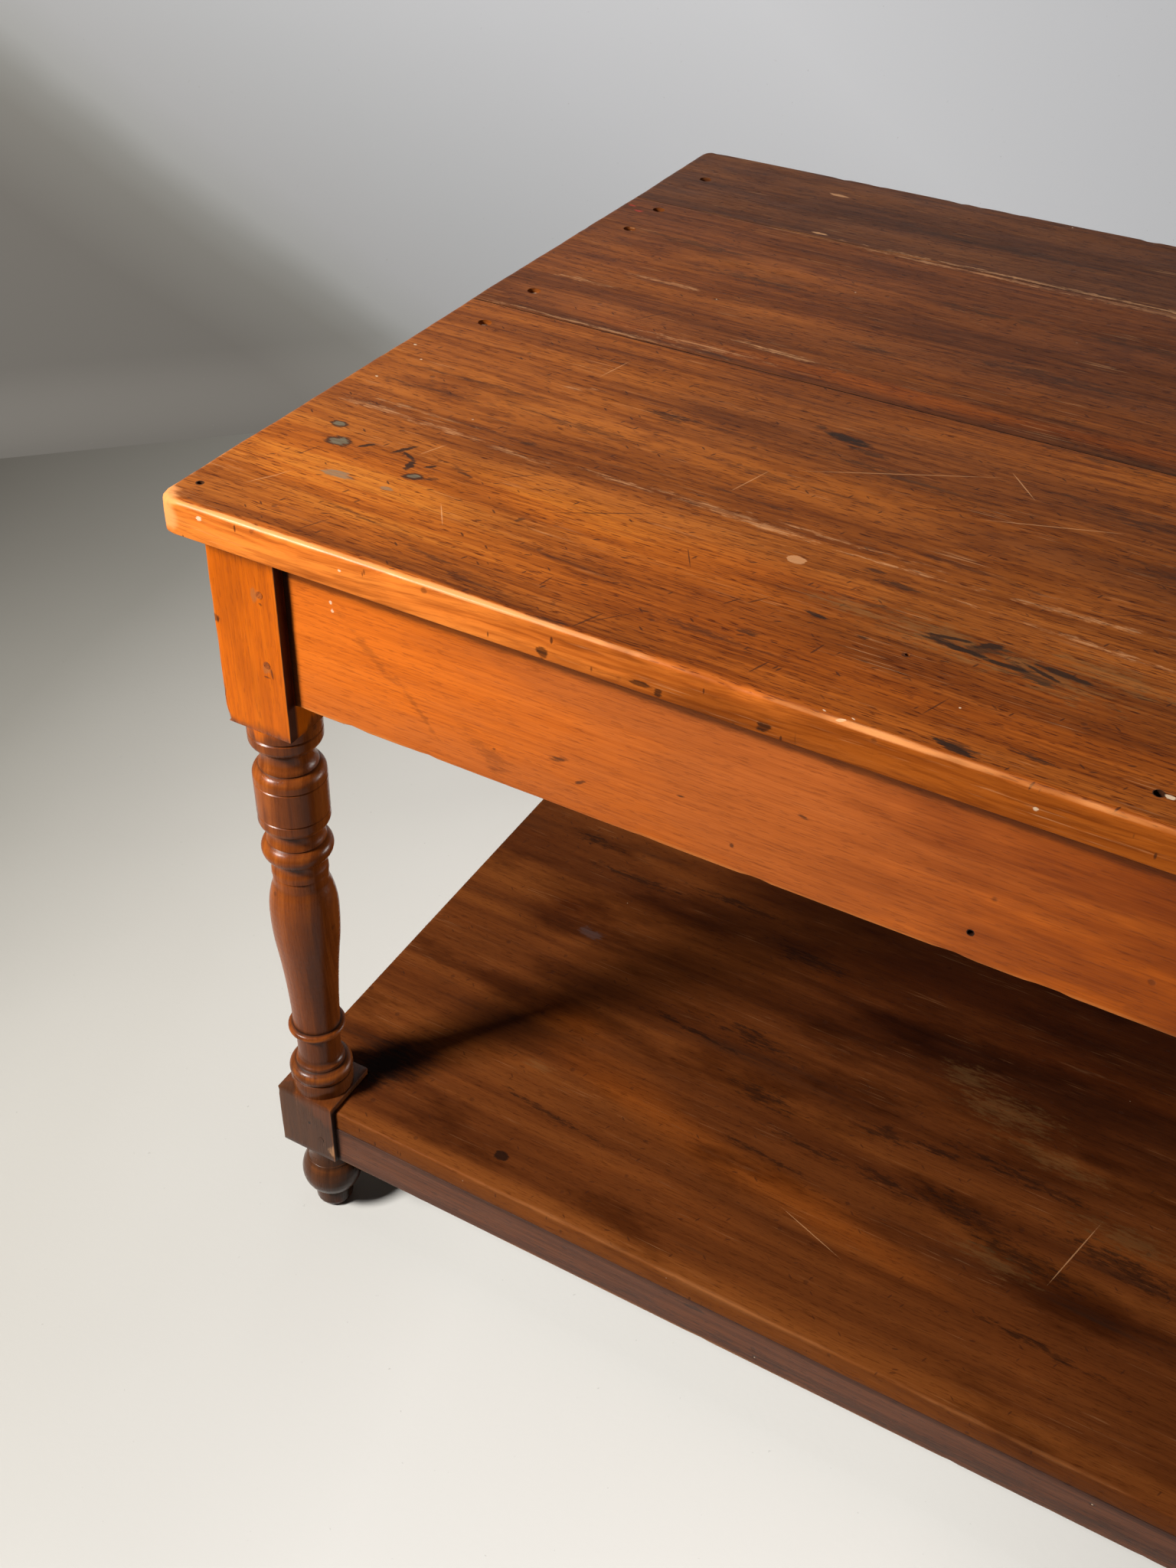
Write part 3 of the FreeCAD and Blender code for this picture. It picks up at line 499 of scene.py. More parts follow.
def slab(name, low, high, thin, cell, lowArris, highArris, corners, material, between=2):
    # a board with an arris of its own on each side (low u, high u, low v, high v) and rounded plan corners
    order = {"z": (0, 1, 2), "y": (0, 2, 1), "x": (1, 2, 0)}[thin]
    u0, v0, w0 = [low[n] for n in order]
    u1, v1, w1 = [high[n] for n in order]
    edge = max(14 * mm, max(corners))
    edge = min(edge, (v1 - v0) * 0.35, (u1 - u0) * 0.35)
    lineU = stations(u0, u1, cell, edge)
    lineV = stations(v0, v1, cell, edge)
    countU, countV = len(lineU), len(lineV)
    gridU, gridV = [g.reshape(-1) for g in np.meshgrid(lineU, lineV, indexing="ij")]
    index = np.arange(countU * countV).reshape(countU, countV)
    rim = np.concatenate([index[:-1, 0], index[-1, :-1], index[:0:-1, -1], index[0, :0:-1]])
    onU = (gridU <= u0 + 1e-9) | (gridU >= u1 - 1e-9)
    arrises = {"low": lowArris, "high": highArris}

    def level(end, angle, chosen):
        # the plan of one level, drawn in where the arris turns over
        radii = arrises[end]
        inset = [r * (1 - math.cos(math.radians(angle))) for r in radii]
        sides = (u0 + inset[0], u1 - inset[1], v0 + inset[2], v1 - inset[3])
        innerU, innerV = (u0 + edge, u1 - edge), (v0 + edge, v1 - edge)
        u = np.interp(gridU[chosen], [u0, *innerU, u1], [sides[0], *innerU, sides[1]])
        v = np.interp(gridV[chosen], [v0, *innerV, v1], [sides[2], *innerV, sides[3]])
        smaller = [max(r - max(inset[a], inset[b]), 0.2 * mm)
                   for r, (a, b) in zip(corners, ((0, 2), (1, 2), (1, 3), (0, 3)))]
        u, v = roundCorners(u, v, sides, smaller)
        besideU = np.where(gridU[chosen] < (u0 + u1) / 2, radii[0], radii[1])
        besideV = np.where(gridV[chosen] < (v0 + v1) / 2, radii[2], radii[3])
        radius = np.where(onU[chosen], besideU, besideV)
        drop = radius * (1 - math.sin(math.radians(angle)))
        w = w0 + drop if end == "low" else w1 - drop
        return np.stack([u, v, w], axis=1)

    everywhere = np.arange(countU * countV)
    rows = [level("low", 90, everywhere)]
    rows += [level("low", angle, rim) for angle in slabBends["low"][1:]]
    foot, head = rows[-1], level("high", 0, rim)
    rows += [foot + (head - foot) * share for share in np.linspace(0, 1, between + 2)[1:-1]]
    rows += [level("high", angle, rim) for angle in slabBends["high"][:-1]]
    rows += [level("high", 90, everywhere)]

    loops = [rim]
    start = countU * countV
    for row in rows[1:-1]:
        loops.append(start + np.arange(len(rim)))
        start += len(rim)
    loops.append(start + rim)
    quads = np.stack([index[:-1, :-1], index[1:, :-1], index[1:, 1:], index[:-1, 1:]], axis=-1).reshape(-1, 4)
    faces = [quads[:, ::-1], quads + start]
    for lower, upper in zip(loops[:-1], loops[1:]):
        faces.append(np.stack([lower, np.roll(lower, -1), np.roll(upper, -1), upper], axis=-1))
    faces = np.concatenate(faces)
    if thin == "y":
        faces = faces[:, ::-1]
    rows = np.concatenate(rows)
    places = np.empty_like(rows)
    for n, axis in enumerate(order):
        places[:, axis] = rows[:, n]
    return pieceFrom(name, places, faces.tolist(), material)


def cutAway(piece, cutters):
    # takes closed shapes out of a piece
    for cutter in cutters:
        cut = piece.modifiers.new("cut", "BOOLEAN")
        cut.operation = "DIFFERENCE"
        cut.solver = "EXACT"
        cut.object = cutter
    settle(piece)
    for cutter in cutters:
        bpy.data.objects.remove(cutter)
    smooth(piece.data)


def rod(at, radius, length, sides=32):
    # a closed round cutter that stands on its lower end
    angles = [n * math.tau / sides for n in range(sides)]
    ring = [(math.cos(angle) * radius, math.sin(angle) * radius) for angle in angles]
    vertices = [(at[0] + x, at[1] + y, at[2] + z) for z in (0, length) for x, y in ring]
    faces = [list(range(sides))[::-1], list(range(sides, 2 * sides))]
    faces += [[n, (n + 1) % sides, (n + 1) % sides + sides, n + sides] for n in range(sides)]
    return pieceFrom("cutter", vertices, faces, edgeBlack)


def block(low, high):
    # a closed square cutter
    vertices = [(x, y, z) for z in (low[2], high[2]) for y in (low[1], high[1]) for x in (low[0], high[0])]
    faces = [(0, 2, 3, 1), (4, 5, 7, 6), (0, 1, 5, 4), (2, 6, 7, 3), (0, 4, 6, 2), (1, 3, 7, 5)]
    return pieceFrom("cutter", vertices, faces, edgeBlack)


edgeBlack = wood("cutWood", palette="umber")

legNames = [f"leg_{depth}_{side}" for depth in ("front", "back") for side in ("left", "right")]
legBox = {name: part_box(name) for name in legNames}
legAxis = {name: ((low + high) / 2) for name, (low, high) in legBox.items()}
legHalf = (legBox["leg_front_left"][1].x - legBox["leg_front_left"][0].x) / 2
legX, legY = legAxis["leg_front_left"].x / mm, legAxis["leg_front_left"].y / mm
topLow, topHigh = [corner.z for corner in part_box("top_front_board")]
shelfLow, shelfHigh = [corner.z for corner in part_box("shelf_front_board")]
apronLow, apronHigh = [corner.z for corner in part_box("apron_front")]
railLow, railHigh = [corner.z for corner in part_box("lower_rail_front")]
levelFaces = {"top": topHigh / mm, "shelf": 178}                 # where spots on level faces lie, in mm
frontFaces = {"topEdge": -466, "apron": -430, "rail": -435, "block": legY - legHalf / mm}   # depths, in mm
spotDepth = {"level": 30, "front": 9}                            # how far a spot reaches into the wood


def on(face, *rows):
    # spots on a level face: x, y, half length, half width and turn; on a front face: x, z and so on
    if face in levelFaces:
        height = levelFaces[face]
        return [((x, y, height), (long, wide, spotDepth["level"]), turn) for x, y, long, wide, turn in rows]
    depth = frontFaces[face]
    return [((x, depth, z), (long, spotDepth["front"], tall), turn) for x, z, long, tall, turn in rows]


# Camera, fitted to the photograph's straight edges

view = {
    "place": (-284.0 * mm, -1254.5 * mm, 1443.3 * mm),
    "yaw": 0.48284,
    "pitch": -0.67568,
    "roll": 0.036395,
    "focal": 2142.80,            # in the photograph's pixels
    "longSide": 2048,
}


def makeCamera():
    yaw, pitch, roll = view["yaw"], view["pitch"], view["roll"]
    forward = Vector((-math.sin(yaw) * math.cos(pitch), math.cos(yaw) * math.cos(pitch), math.sin(pitch)))
    level = Vector((math.cos(yaw), math.sin(yaw), 0))
    rising = level.cross(forward)
    right = math.cos(roll) * level + math.sin(roll) * rising
    up = math.cos(roll) * rising - math.sin(roll) * level
    lens = bpy.data.cameras.new("camera")
    lens.sensor_width = 36.0
    lens.lens = view["focal"] * lens.sensor_width / view["longSide"]
    lens.clip_end = 60.0
    camera = bpy.data.objects.new("camera", lens)
    facing = Matrix((right, up, -forward)).transposed()
    camera.matrix_world = Matrix.Translation(view["place"]) @ facing.to_4x4()
    bpy.context.collection.objects.link(camera)
    bpy.context.scene.camera = camera


# Floor, sweep and lights

studio = {
    # painted shade: direction of the brighter side and where the change runs, then the shades on the way
    "floorSlant": ((0.86, 0.18, 0.0), -2.04, -0.39),
    "floor": ((0.0, tone(110, 107, 100)), (0.25, tone(144, 142, 135)), (0.5, tone(193, 191, 185)),
              (0.75, tone(236, 235, 231)), (1.0, tone(252, 251, 247))),
    "wallSlant": ((0.6, 0.6, 1.0), -0.62, 1.0),
    "wall": ((0.0, tone(97, 94, 89)), (0.11, tone(109, 107, 102)), (0.15, tone(120, 119, 115)),
             (0.19, tone(139, 139, 137)), (0.25, tone(148, 148, 148)), (0.385, tone(158, 159, 160)),
             (0.62, tone(175, 176, 178)), (0.885, tone(189, 190, 192))),
    "wallGlow": 0.6,
    "grit": tone(120, 116, 108),
    "bounce": tone(74, 72, 70),
    # painted shade: a darker patch on the floor
    "floorShadeSpot": ((-0.9, -0.83, 0.0), 0.82, 0.24),      # place, radius and strength of a darker patch
    "floorReach": 9,
    "wallFoot": (-2.30, 0.82),       # a place on the line where wall and floor meet
    "wallTurn": 45.0,
    "wallSweep": 0.12,
    "wallHeight": 4.0,
    "wallEnds": (-3.0, 9.0),
    "skyTint": (0.96, 0.98, 1.0),
    "world": 0.028,
    "backdrop": 0.3,                # what the camera sees beyond floor and wall
    # name, place, aim, width, height, watts, colour and spread in degrees
    "lamps": (
        ("key", (-2.05, -1.85, 2.0), (-0.85, -0.25, 0.5), 0.52, 0.52, 109, (1.0, 0.97, 0.93), 180),
        ("overhead", (-0.6, 0.1, 3.6), (-0.6, 0.1, 0.0), 1.6, 1.6, 26, (0.98, 0.98, 1.0), 180),
        ("behind", (3.3, 3.0, 0.62), (0.5, 0.3, 0.62), 2.0, 0.3, 20, (1.0, 0.98, 0.95), 70),
    ),
}


def paintedPlaster(name, shades, slant, glowStrength=0.0, shadeSpot=None):
    # pale paint with painted shade that darkens away from the lit side and a painted glow where the camera sees
    # it; it gives little light back to the table
    finish = Finish(name)
    cloud = finish.noise(finish.place, scale=1.3, detail=4.0)
    grit = finish.noise(finish.place, scale=140.0, detail=2.0)
    towards, start, end = slant
    vectors = {0: finish.place, 1: towards}
    reach = finish.node("ShaderNodeVectorMath", {"operation": "DOT_PRODUCT"}, vectors, "Value")
    share = (reach + (cloud - 0.5) * 0.12 - start) / (end - start)
    shade = finish.node("ShaderNodeValToRGB", {"stops": shades}, {0: share})
    if shadeSpot:
        middle, radius, amount = shadeSpot
        spot = finish.fade(finish.near(middle, (radius,) * 3), 0.0, 1.0)
        shade = finish.blend(spot * amount, shade, black)
    shade = finish.blend(finish.fade(grit, 0.74, 0.80) * 0.3, shade, studio["grit"])
    shown = finish.shown()
    glow = finish.blend(shown, black, shade)
    shade = finish.blend(shown, studio["bounce"], shade)
    normal = finish.node("ShaderNodeBump", None, {"Strength": 0.1, "Distance": 0.001, "Height": grit})
    material = finish.surface(shade, 0.75 + (cloud - 0.5) * 0.2, normal)
    shader = material.node_tree.nodes["Principled BSDF"]
    finish.tree.links.new(glow.socket, shader.inputs["Emission Color"])
    shader.inputs["Emission Strength"].default_value = glowStrength
    return material


def makeStudio():
    floorPaint = paintedPlaster("floorPaint", studio["floor"], studio["floorSlant"], 0.0, studio["floorShadeSpot"])
    far = studio["floorReach"]
    corners = [(-far, -far, 0), (far, -far, 0), (far, far, 0), (-far, far, 0)]
    floor = pieceFrom("floor", corners, [(0, 1, 2, 3)], seeThroughBehind(floorPaint))
    turn = math.radians(studio["wallTurn"])
    run = Vector((math.cos(turn), math.sin(turn), 0))
    back = Vector((-math.sin(turn), math.cos(turn), 0))
    foot = Vector((*studio["wallFoot"], 0.0))
    sweep = studio["wallSweep"]
    profile = [(0.0, 0.0005)] + [
        (sweep * math.sin(a), sweep * (1 - math.cos(a))) for a in np.linspace(0, math.pi / 2, 9)[1:]
    ] + [(sweep, studio["wallHeight"])]
    vertices, faces = [], []
    for away, height in profile:
        for reach in studio["wallEnds"]:
            vertices.append(foot + run * reach + back * away + Vector((0, 0, height)))
    for n in range(len(profile) - 1):
        faces.append((2 * n, 2 * n + 1, 2 * n + 3, 2 * n + 2))
    wallPaint = paintedPlaster("wallPaint", studio["wall"], studio["wallSlant"], studio["wallGlow"])
    wall = pieceFrom("wall", vertices, faces, seeThroughBehind(wallPaint), 60)

    world = bpy.data.worlds.new("studio")
    world.use_nodes = True
    bpy.context.scene.world = world
    graph = Graph(world.node_tree)
    levels = [(*(channel * studio[key] for channel in studio["skyTint"]), 1.0) for key in ("world", "backdrop")]
    light = world.node_tree.nodes["Background"]
    world.node_tree.links.new(graph.blend(graph.shown(), *levels).socket, light.inputs["Color"])
    light.inputs["Strength"].default_value = 1.0
    for name, place, aim, width, height, power, colour, spread in studio["lamps"]:
        data = bpy.data.lights.new(name, "AREA")
        data.shape = "RECTANGLE"
        data.size = width
        data.size_y = height
        data.energy = power
        data.color = colour
        data.spread = math.radians(spread)
        lamp = bpy.data.objects.new(name, data)
        lamp.location = place
        lamp.visible_camera = False
        lamp.rotation_euler = (Vector(aim) - Vector(place)).to_track_quat("-Z", "Y").to_euler()
        bpy.context.collection.objects.link(lamp)


def seeThroughBehind(material):
    # seen from behind, floor and wall give way to the view of the table
    graph = Graph(material.node_tree)
    nodes = material.node_tree.nodes
    shader = Wire(graph, nodes["Principled BSDF"].outputs[0])
    behind = graph.node("ShaderNodeNewGeometry", None, None, "Backfacing")
    clear = graph.node("ShaderNodeBsdfTransparent")
    both = graph.node("ShaderNodeMixShader", None, {0: behind, 1: shader, 2: clear})
    material.node_tree.links.new(both.socket, nodes["Material Output"].inputs["Surface"])
    return material


makeCamera()
makeStudio()
print("camera, floor and lights placed")


# Top: three boards, rubbed and marked by use

topLook = {
    "cell": 7 * mm,
    "upperRound": 5 * mm,
    "lowerRound": 0.9 * mm,
    "seamRound": 0.9 * mm,
    "cornerRound": 13 * mm,
    "bore": 6.2 * mm,
    "boreDepth": 9.3 * mm,
    "dents": 50,
    "nicks": 18,
    "sink": 0.5 * mm,
    "endWave": 2.2 * mm,
    "sideWave": 0.7 * mm,
    # x, y, depth, radius in mm and the count of sides
    "nailHoles": ((-1046.9, -434.8, 3, 2.4, 14), (-337.6, -434.6, 5, 3.4, 14), (-515, -375, 3, 1.7, 12)),
    "nailCut": 9 * mm,
}
# the boards are tongued, so their show faces meet on the seam lines rather than at the box's tongue
seams = (-33 * mm, 286 * mm)
seamLooks = {
    "front": ((seams[0], "dark"),),
    "middle": ((seams[0], "dark"), (seams[1], "pale")),
    "back": ((seams[1], "pale"),),
}
screwLine = legAxis["leg_front_right"].x + 9.5 * mm
screwPlaces = (-73.7 * mm, 12.3 * mm, 201.5 * mm, 265.9 * mm, 376.9 * mm)
lostPutty = screwPlaces[3]

topMarks = {
    "front": (
        (ink, 0.85, 0.3, 0.5, 0.0, on(
            "top", (-999, -326, 13, 9, 0), (-1016, -302, 9, 6, 10), (-919, -344, 10, 6, 30))),
        (greyGreen, 0.75, 0.3, 0.7, 0.3, on(
            "top", (-999, -326, 9, 6, 0), (-1016, -302, 6, 4, 10), (-919, -343, 6, 3, 30),
            (-926, -370, 6, 3, 0), (-969, -370, 13, 6, 0))),
        (chalk, 0.34, 0.95, 2.0, 0.35, on(
            "top", (-566, -340, 40, 9, -4), (-500, -344, 60, 20, -8), (-440, -352, 60, 18, -6),
            (-390, -330, 46, 16, -6))),
        (ink, 0.9, 0.4, 0.6, 0.0, on(
            "top", (-978, -322, 9, 2.2, 50), (-949, -312, 14, 2.6, 60), (-931, -330, 4, 10, 10),
            (-916, -324, 6, 2.4, 40), (-940, -318, 9, 2, -25), (-664, -110, 24, 6, -8),
            (-585, -362, 11, 2.4, -8), (-490, -350, 26, 3.4, -4), (-472, -337, 12, 4, 30),
            (-455, -353, 18, 3.4, 4), (-421, -344, 26, 3.6, -6), (-456, -455, 15, 4, -12),
            (-500, -342, 20, 2.2, 10), (-432, -350, 16, 2.2, -20))),
        (ink, 0.8, 0.6, 1.3, 0.3, on(
            "top", (-905, -340, 6, 2.4, 30), (-875, -253, 10, 4, 10), (-818, -357, 6, 3, 60),
            (-893, -318, 12, 3.5, -12), (-802, -151, 19, 8, 0), (-660, -114, 18, 6, -10),
            (-640, -124, 20, 5, -6), (-688, -103, 7, 4, 0), (-730, -462, 18, 3, 0), (-476, -346, 24, 6, 24),
            (-492, -348, 30, 3, -12), (-440, -356, 28, 6, -10), (-516, -376, 3, 3, 0),
            (-616, -405, 9, 4, 0), (-548, -371, 6, 3, 0), (-454, -452, 22, 5, -14), (-548, -298, 22, 4, 0),
            (-570, -288, 12, 3, 10), (-410, -440, 18, 3, -8))),
        (ink, 0.6, 0.9, 1.6, 0.5, on(
            "top", (-470, -40, 70, 5, -2), (-400, -46, 60, 6, -2), (-590, -150, 90, 10, -4),
            (-330, -190, 120, 18, -4), (-400, -120, 120, 12, -4), (-250, -280, 120, 12, -4))),
        (deepBrown, 0.7, 0.9, 1.5, 0.5, on(
            "top", (-850, -433, 60, 3.5, -7), (-800, -447, 44, 3.5, -7), (-910, -415, 60, 2.6, -9),
            (-980, -212, 60, 8, 0), (-850, -205, 70, 8, -2), (-700, -200, 80, 7, -2),
            (-760, -390, 60, 3.5, -4), (-640, -420, 60, 6, -4), (-560, -330, 60, 2.6, -3),
            (-520, -250, 90, 3.5, -4), (-700, -240, 70, 2.6, -4), (-930, -250, 80, 3, -2),
            (-960, -180, 90, 5, 0), (-760, -150, 90, 4, -2), (-640, -200, 90, 4, -3))),
        (ink, 0.9, 0.15, 0.1, 0.0, on(
            "top", (-1046.9, -434.8, 3.6, 3.6, 0), (-337.6, -434.6, 4.2, 4.2, 0))),
        (pale, 0.4, 0.9, 1.9, 0.8, on(
            "top", (-1005, -263, 36, 5, 0), (-940, -266, 44, 4, -2), (-980, -250, 50, 2.4, -1),
            (-887, -145, 16, 4, 20), (-880, -272, 40, 3, -2), (-700, -268, 46, 6, -4),
            (-650, -272, 30, 6, -2), (-555, -275, 44, 3, 0), (-430, -270, 70, 3.5, 2),
            (-420, -300, 80, 3, -4), (-780, -268, 40, 3, -2), (-600, -262, 60, 3, -2))),
        (pale, 0.46, 0.15, 0.25, 0.1, on("top", (-624, -303, 7.5, 6, 0))),
        (deepBrown, 0.75, 0.4, 0.3, 0.0, on(
            "top", (-773, -318, 44, 0.8, 31), (-712, -447, 16, 1.0, 68), (-700, -436, 18, 0.6, 50),
            (-568, -400, 10, 0.9, 75), (-592, -438, 12, 0.9, 70), (-640, -376, 9, 0.8, 60),
            (-626, -366, 10, 0.8, 52), (-850, -300, 20, 0.6, 40), (-940, -440, 14, 0.7, 65),
            (-480, -420, 16, 0.8, 70), (-760, -420, 10, 0.7, 80), (-1010, -350, 12, 0.6, 70),
            (-690, -340, 14, 0.6, -60), (-560, -180, 30, 0.6, 24), (-400, -250, 26, 0.7, 30))),
        (pale, 0.38, 0.4, 0.2, 0.0, on(
            "top", (-606, -144, 92, 0.6, 28), (-519, -112, 24, 0.7, -50), (-1010, -400, 22, 0.6, 62),
            (-880, -96, 24, 0.6, 80), (-700, -215, 26, 0.6, 75), (-930, -300, 16, 0.6, 70),
            (-870, -380, 18, 0.6, -55), (-480, -160, 60, 0.6, 20))),
        (whiteFleck, 0.7, 0.3, 0.6, 0.0, on("top", (-331, -435, 3.5, 2.2, 0))),
        (whiteFleck, 0.7, 0.4, 0.9, 0.0, [
            *on("topEdge", (-1024, 841, 2.8, 2.2, 0), (-900, 837, 1.3, 1.0, 0), (-399, 834, 2.2, 1.8, 0)),
            *on("top", (-525, -463, 3.4, 1, 20), (-538, -460, 2, 0.8, -20), (-519, -459, 2, 0.8, -20),
                (-1049, -146, 2, 1.5, 0), (-1028, -168, 1.6, 1.4, 0), (-1041, -215, 2, 1.4, 0)),
        ]),
        (sootAndShadow, 0.85, 0.45, 0.8, 0.2, on(
            "topEdge", (-736, 826, 5, 5, 0), (-661, 828, 9, 2.6, 12), (-649, 825, 3.5, 4.5, 0),
            (-574, 826, 6, 4, 0))),
    ),
    "middle": (
        (ink, 0.65, 0.8, 1.4, 0.4, on(
            "top", (-820, -24, 26, 4, 0), (-460, -30, 60, 5, 0), (-647, 192, 60, 8, -2),
            (-520, 194, 80, 10, -2), (-706, 60, 40, 6, 0), (-560, 90, 90, 12, -2), (-860, 150, 60, 9, -2),
            (-940, 200, 70, 8, -2))),
        (pale, 0.4, 0.8, 1.9, 0.8, on(
            "top", (-950, -28, 110, 3, 0), (-836, -14, 60, 6, 0), (-770, 10, 50, 4, -4),
            (-929, 97, 40, 4, 0), (-700, 282, 160, 3, 0), (-470, 281, 140, 5, 0), (-1000, 60, 30, 4, 0))),
        (redInk, 0.7, 0.6, 0.8, 0.0, on("top", (-1039, 252, 7, 3, 0), (-1052, 262, 5, 2, 0))),
        (deepBrown, 0.7, 0.3, 0.3, 0.0, on("top", (-905, 20, 30, 0.8, 60), (-760, 150, 40, 0.7, 20))),
    ),
    "back": (
        (pale, 0.6, 0.4, 0.6, 0.2, on("top", (-883, 411, 14, 3.4, -4), (-857, 296, 9, 3, 0))),
        (pale, 0.6, 0.8, 1.6, 0.7, on("top", (-600, 291, 220, 3, 0), (-420, 293, 120, 4, 0))),
        (ink, 0.5, 0.8, 1.4, 0.4, on("top", (-700, 360, 140, 14, -1), (-420, 400, 160, 16, -1))),
    ),
}
topZones = {
    # the front board is honey at the front-left and darker umber further right and back, and its edge face is
    # brightest at the left: partly the wood's colour, partly painted light falling off away from the key
    "front": (
        ("umber", 0.8, 0.9, on("top", (-600, -120, 420, 90, -4), (-250, -200, 420, 90, -3))),
        ("orange", 0.85, 0.9, on("top", (-560, -420, 420, 80, 0), (-700, -350, 260, 70, -6))),
        ("honey", 1.0, 0.9, on("top", (-960, -370, 260, 105, -4), (-800, -330, 170, 40, -6))),
        ("orange", 1.0, 0.25, [((0, -470, 832), (9000, 14, 60), 0)]),
        ("edgeHoney", 1.0, 0.7, [((-1000, -470, 832), (600, 14, 60), 0)]),
    ),
    "middle": (
        ("redBrown", 0.7, 0.9, on("top", (-900, 100, 260, 160, 0), (-500, 30, 500, 40, 0))),
        ("orange", 0.7, 0.9, on("top", (-560, -8, 480, 22, 0))),
    ),
    "back": (),
}


def bedTop(piece, seed):
    # shallow dents, uneven ends and nicked arrises; everything stays inside the new board's size
    places = points(piece)
    x, y, z = places.T.copy()
    face = ease(z, topHigh - 9 * mm, topHigh - 1 * mm)
    draw = random.Random(seed)
    low, high = places.min(0), places.max(0)
    halfLong, halfDeep = cadHigh.x, cadHigh.y
    sink = (cloudy(places, 5.0, seed) * 0.5 + 0.5) * topLook["sink"]
    for n in range(topLook["dents"]):
        atX, atY = draw.uniform(low[0], high[0]), draw.uniform(low[1], high[1])
        wide = draw.uniform(5, 16) * mm
        deep = draw.uniform(0.15, 0.6) * mm
        gap = np.hypot((x - atX) / 1.6, y - atY)
        sink += deep * (1 - ease(gap, 0.2 * wide, wide))
    z -= face * sink
    ends = ease(np.abs(x), high[0] - 60 * mm, high[0] - 2 * mm)
    x -= np.sign(x) * ends * (waves(y, 5, (0.42, 0.2, 0.09, 0.03)) * 0.5 + 0.5) * topLook["endWave"]
    outer = ease(np.abs(y), halfDeep - 46 * mm, halfDeep - 2 * mm)
    y -= np.sign(y) * outer * (waves(x, 9, (1.4, 0.6, 0.13, 0.04)) * 0.5 + 0.5) * topLook["sideWave"]
    nickReach = halfLong - 5 * mm
    for n in range(topLook["nicks"]):
        atX = draw.uniform(-nickReach, nickReach)
        wide = draw.uniform(5, 14) * mm
        deep = draw.uniform(0.3, 1.1) * mm
        beside = np.where(np.abs(y) > halfDeep - 11 * mm, 1, 0)
        nick = (1 - ease(np.abs(x - atX), 0.2 * wide, wide)) * face * beside
        y -= np.sign(y) * nick * deep
        z -= nick * deep * 0.5
    setPoints(piece, np.stack([x, y, z], axis=1))


def wearAndHighlightTop(piece, seamSides):
    places = points(piece)
    x, y, z = places.T
    halfLong, halfDeep = cadHigh.x, cadHigh.y
    rimGap = np.minimum(halfLong - np.abs(x), halfDeep - np.abs(y))
    # the upper arris is rubbed pale: partly real wear and partly a painted highlight where the key catches the
    # rounding, strongest along the front and near the ends
    upper = 1 - ease(np.abs(z - (topHigh - 1.6 * mm)), 0.8 * mm, 2.6 * mm)
    upper *= 0.78 + 0.22 * waves(x + y, 31, (0.21, 0.07, 0.033, 0.016))
    front = 1.2 - 0.35 * ease(-np.abs(x), -0.9, -0.4)
    worn = upper * (1 - ease(rimGap, 2.5 * mm, 6 * mm)) * np.where(y < -0.44, front, 0.45)
    corner = np.hypot(halfLong + x, halfDeep + y)
    worn = np.maximum(worn, 1.2 * (1 - ease(corner, 8 * mm, 24 * mm)) * (z > topLow + 4 * mm))
    grime = np.zeros(len(places))
    for seam, how in seamSides:
        close = 1 - ease(np.abs(y - seam), 0.5 * mm, 1.4 * mm)
        if how == "pale":
            worn = np.maximum(worn, close * (0.4 + 0.25 * ease(x, -0.8, -0.3)))
            grime = np.maximum(grime, 0.8 * (1 - ease(np.abs(y - seam), 0.2 * mm, 0.8 * mm)))
        else:
            grime = np.maximum(grime, 0.95 * (1 - ease(np.abs(y - seam), 0.3 * mm, 1.1 * mm)))
    paint(piece, "worn", worn)
    paint(piece, "grime", grime)


def makeTop():
    low, high = cadLow, cadHigh
    big, small, seam = topLook["upperRound"], topLook["lowerRound"], topLook["seamRound"]
    plan = topLook["cornerRound"]
    rows = (
        ("front", low.y, seams[0], (big, seam), (small, seam), (plan, plan, seam, seam), "redBrown"),
        ("middle", seams[0], seams[1], (seam, seam), (seam, seam), (seam,) * 4, "umber"),
        ("back", seams[1], high.y, (seam, big), (seam, small), (seam, seam, plan, plan), "smoky"),
    )
    for name, front, back, upper, lower, corners, palette in rows:
        finish = wood(
            "topWood_" + name, palette=palette, zones=topZones[name], marks=topMarks[name],
            middle=((front + back) / 2, topHigh), heart=(0.05, -0.13), edge=bareEdgeAndHighlight, edgeAmount=0.78,
            underside="bare", stain=0.35, streak=0.18, scratch=0.5, ticks=0.8, shine=0.04, clefts=0.8,
            pores=0.85, hairs=0.28, edgeCoat=0.16, blotch=0.3, calmSides=0.85,
        )
        piece = slab(
            "topBoard_" + name, (low.x, front, topLow), (high.x, back, topHigh), "z", topLook["cell"],
            (small, small, *lower), (big, big, *upper), corners, finish,
        )
        bedTop(piece, len(name))
        bores = [
            rod((side * screwLine, y, topHigh - topLook["boreDepth"]), topLook["bore"], topLook["boreDepth"] * 2)
            for y in screwPlaces if front < y < back for side in (-1, 1)
        ]
        if name == "front":
            for x, y, depth, radius, sides in topLook["nailHoles"]:
                place = (x * mm, y * mm, topHigh - depth * mm)
                bores.append(rod(place, radius * mm, topLook["nailCut"], sides))
        cutAway(piece, bores)
        wearAndHighlightTop(piece, seamLooks[name])
        dress(piece, "top_wood", f"top_{name}_board")


makeTop()


# Legs: square blocks and turning on one grid of rings

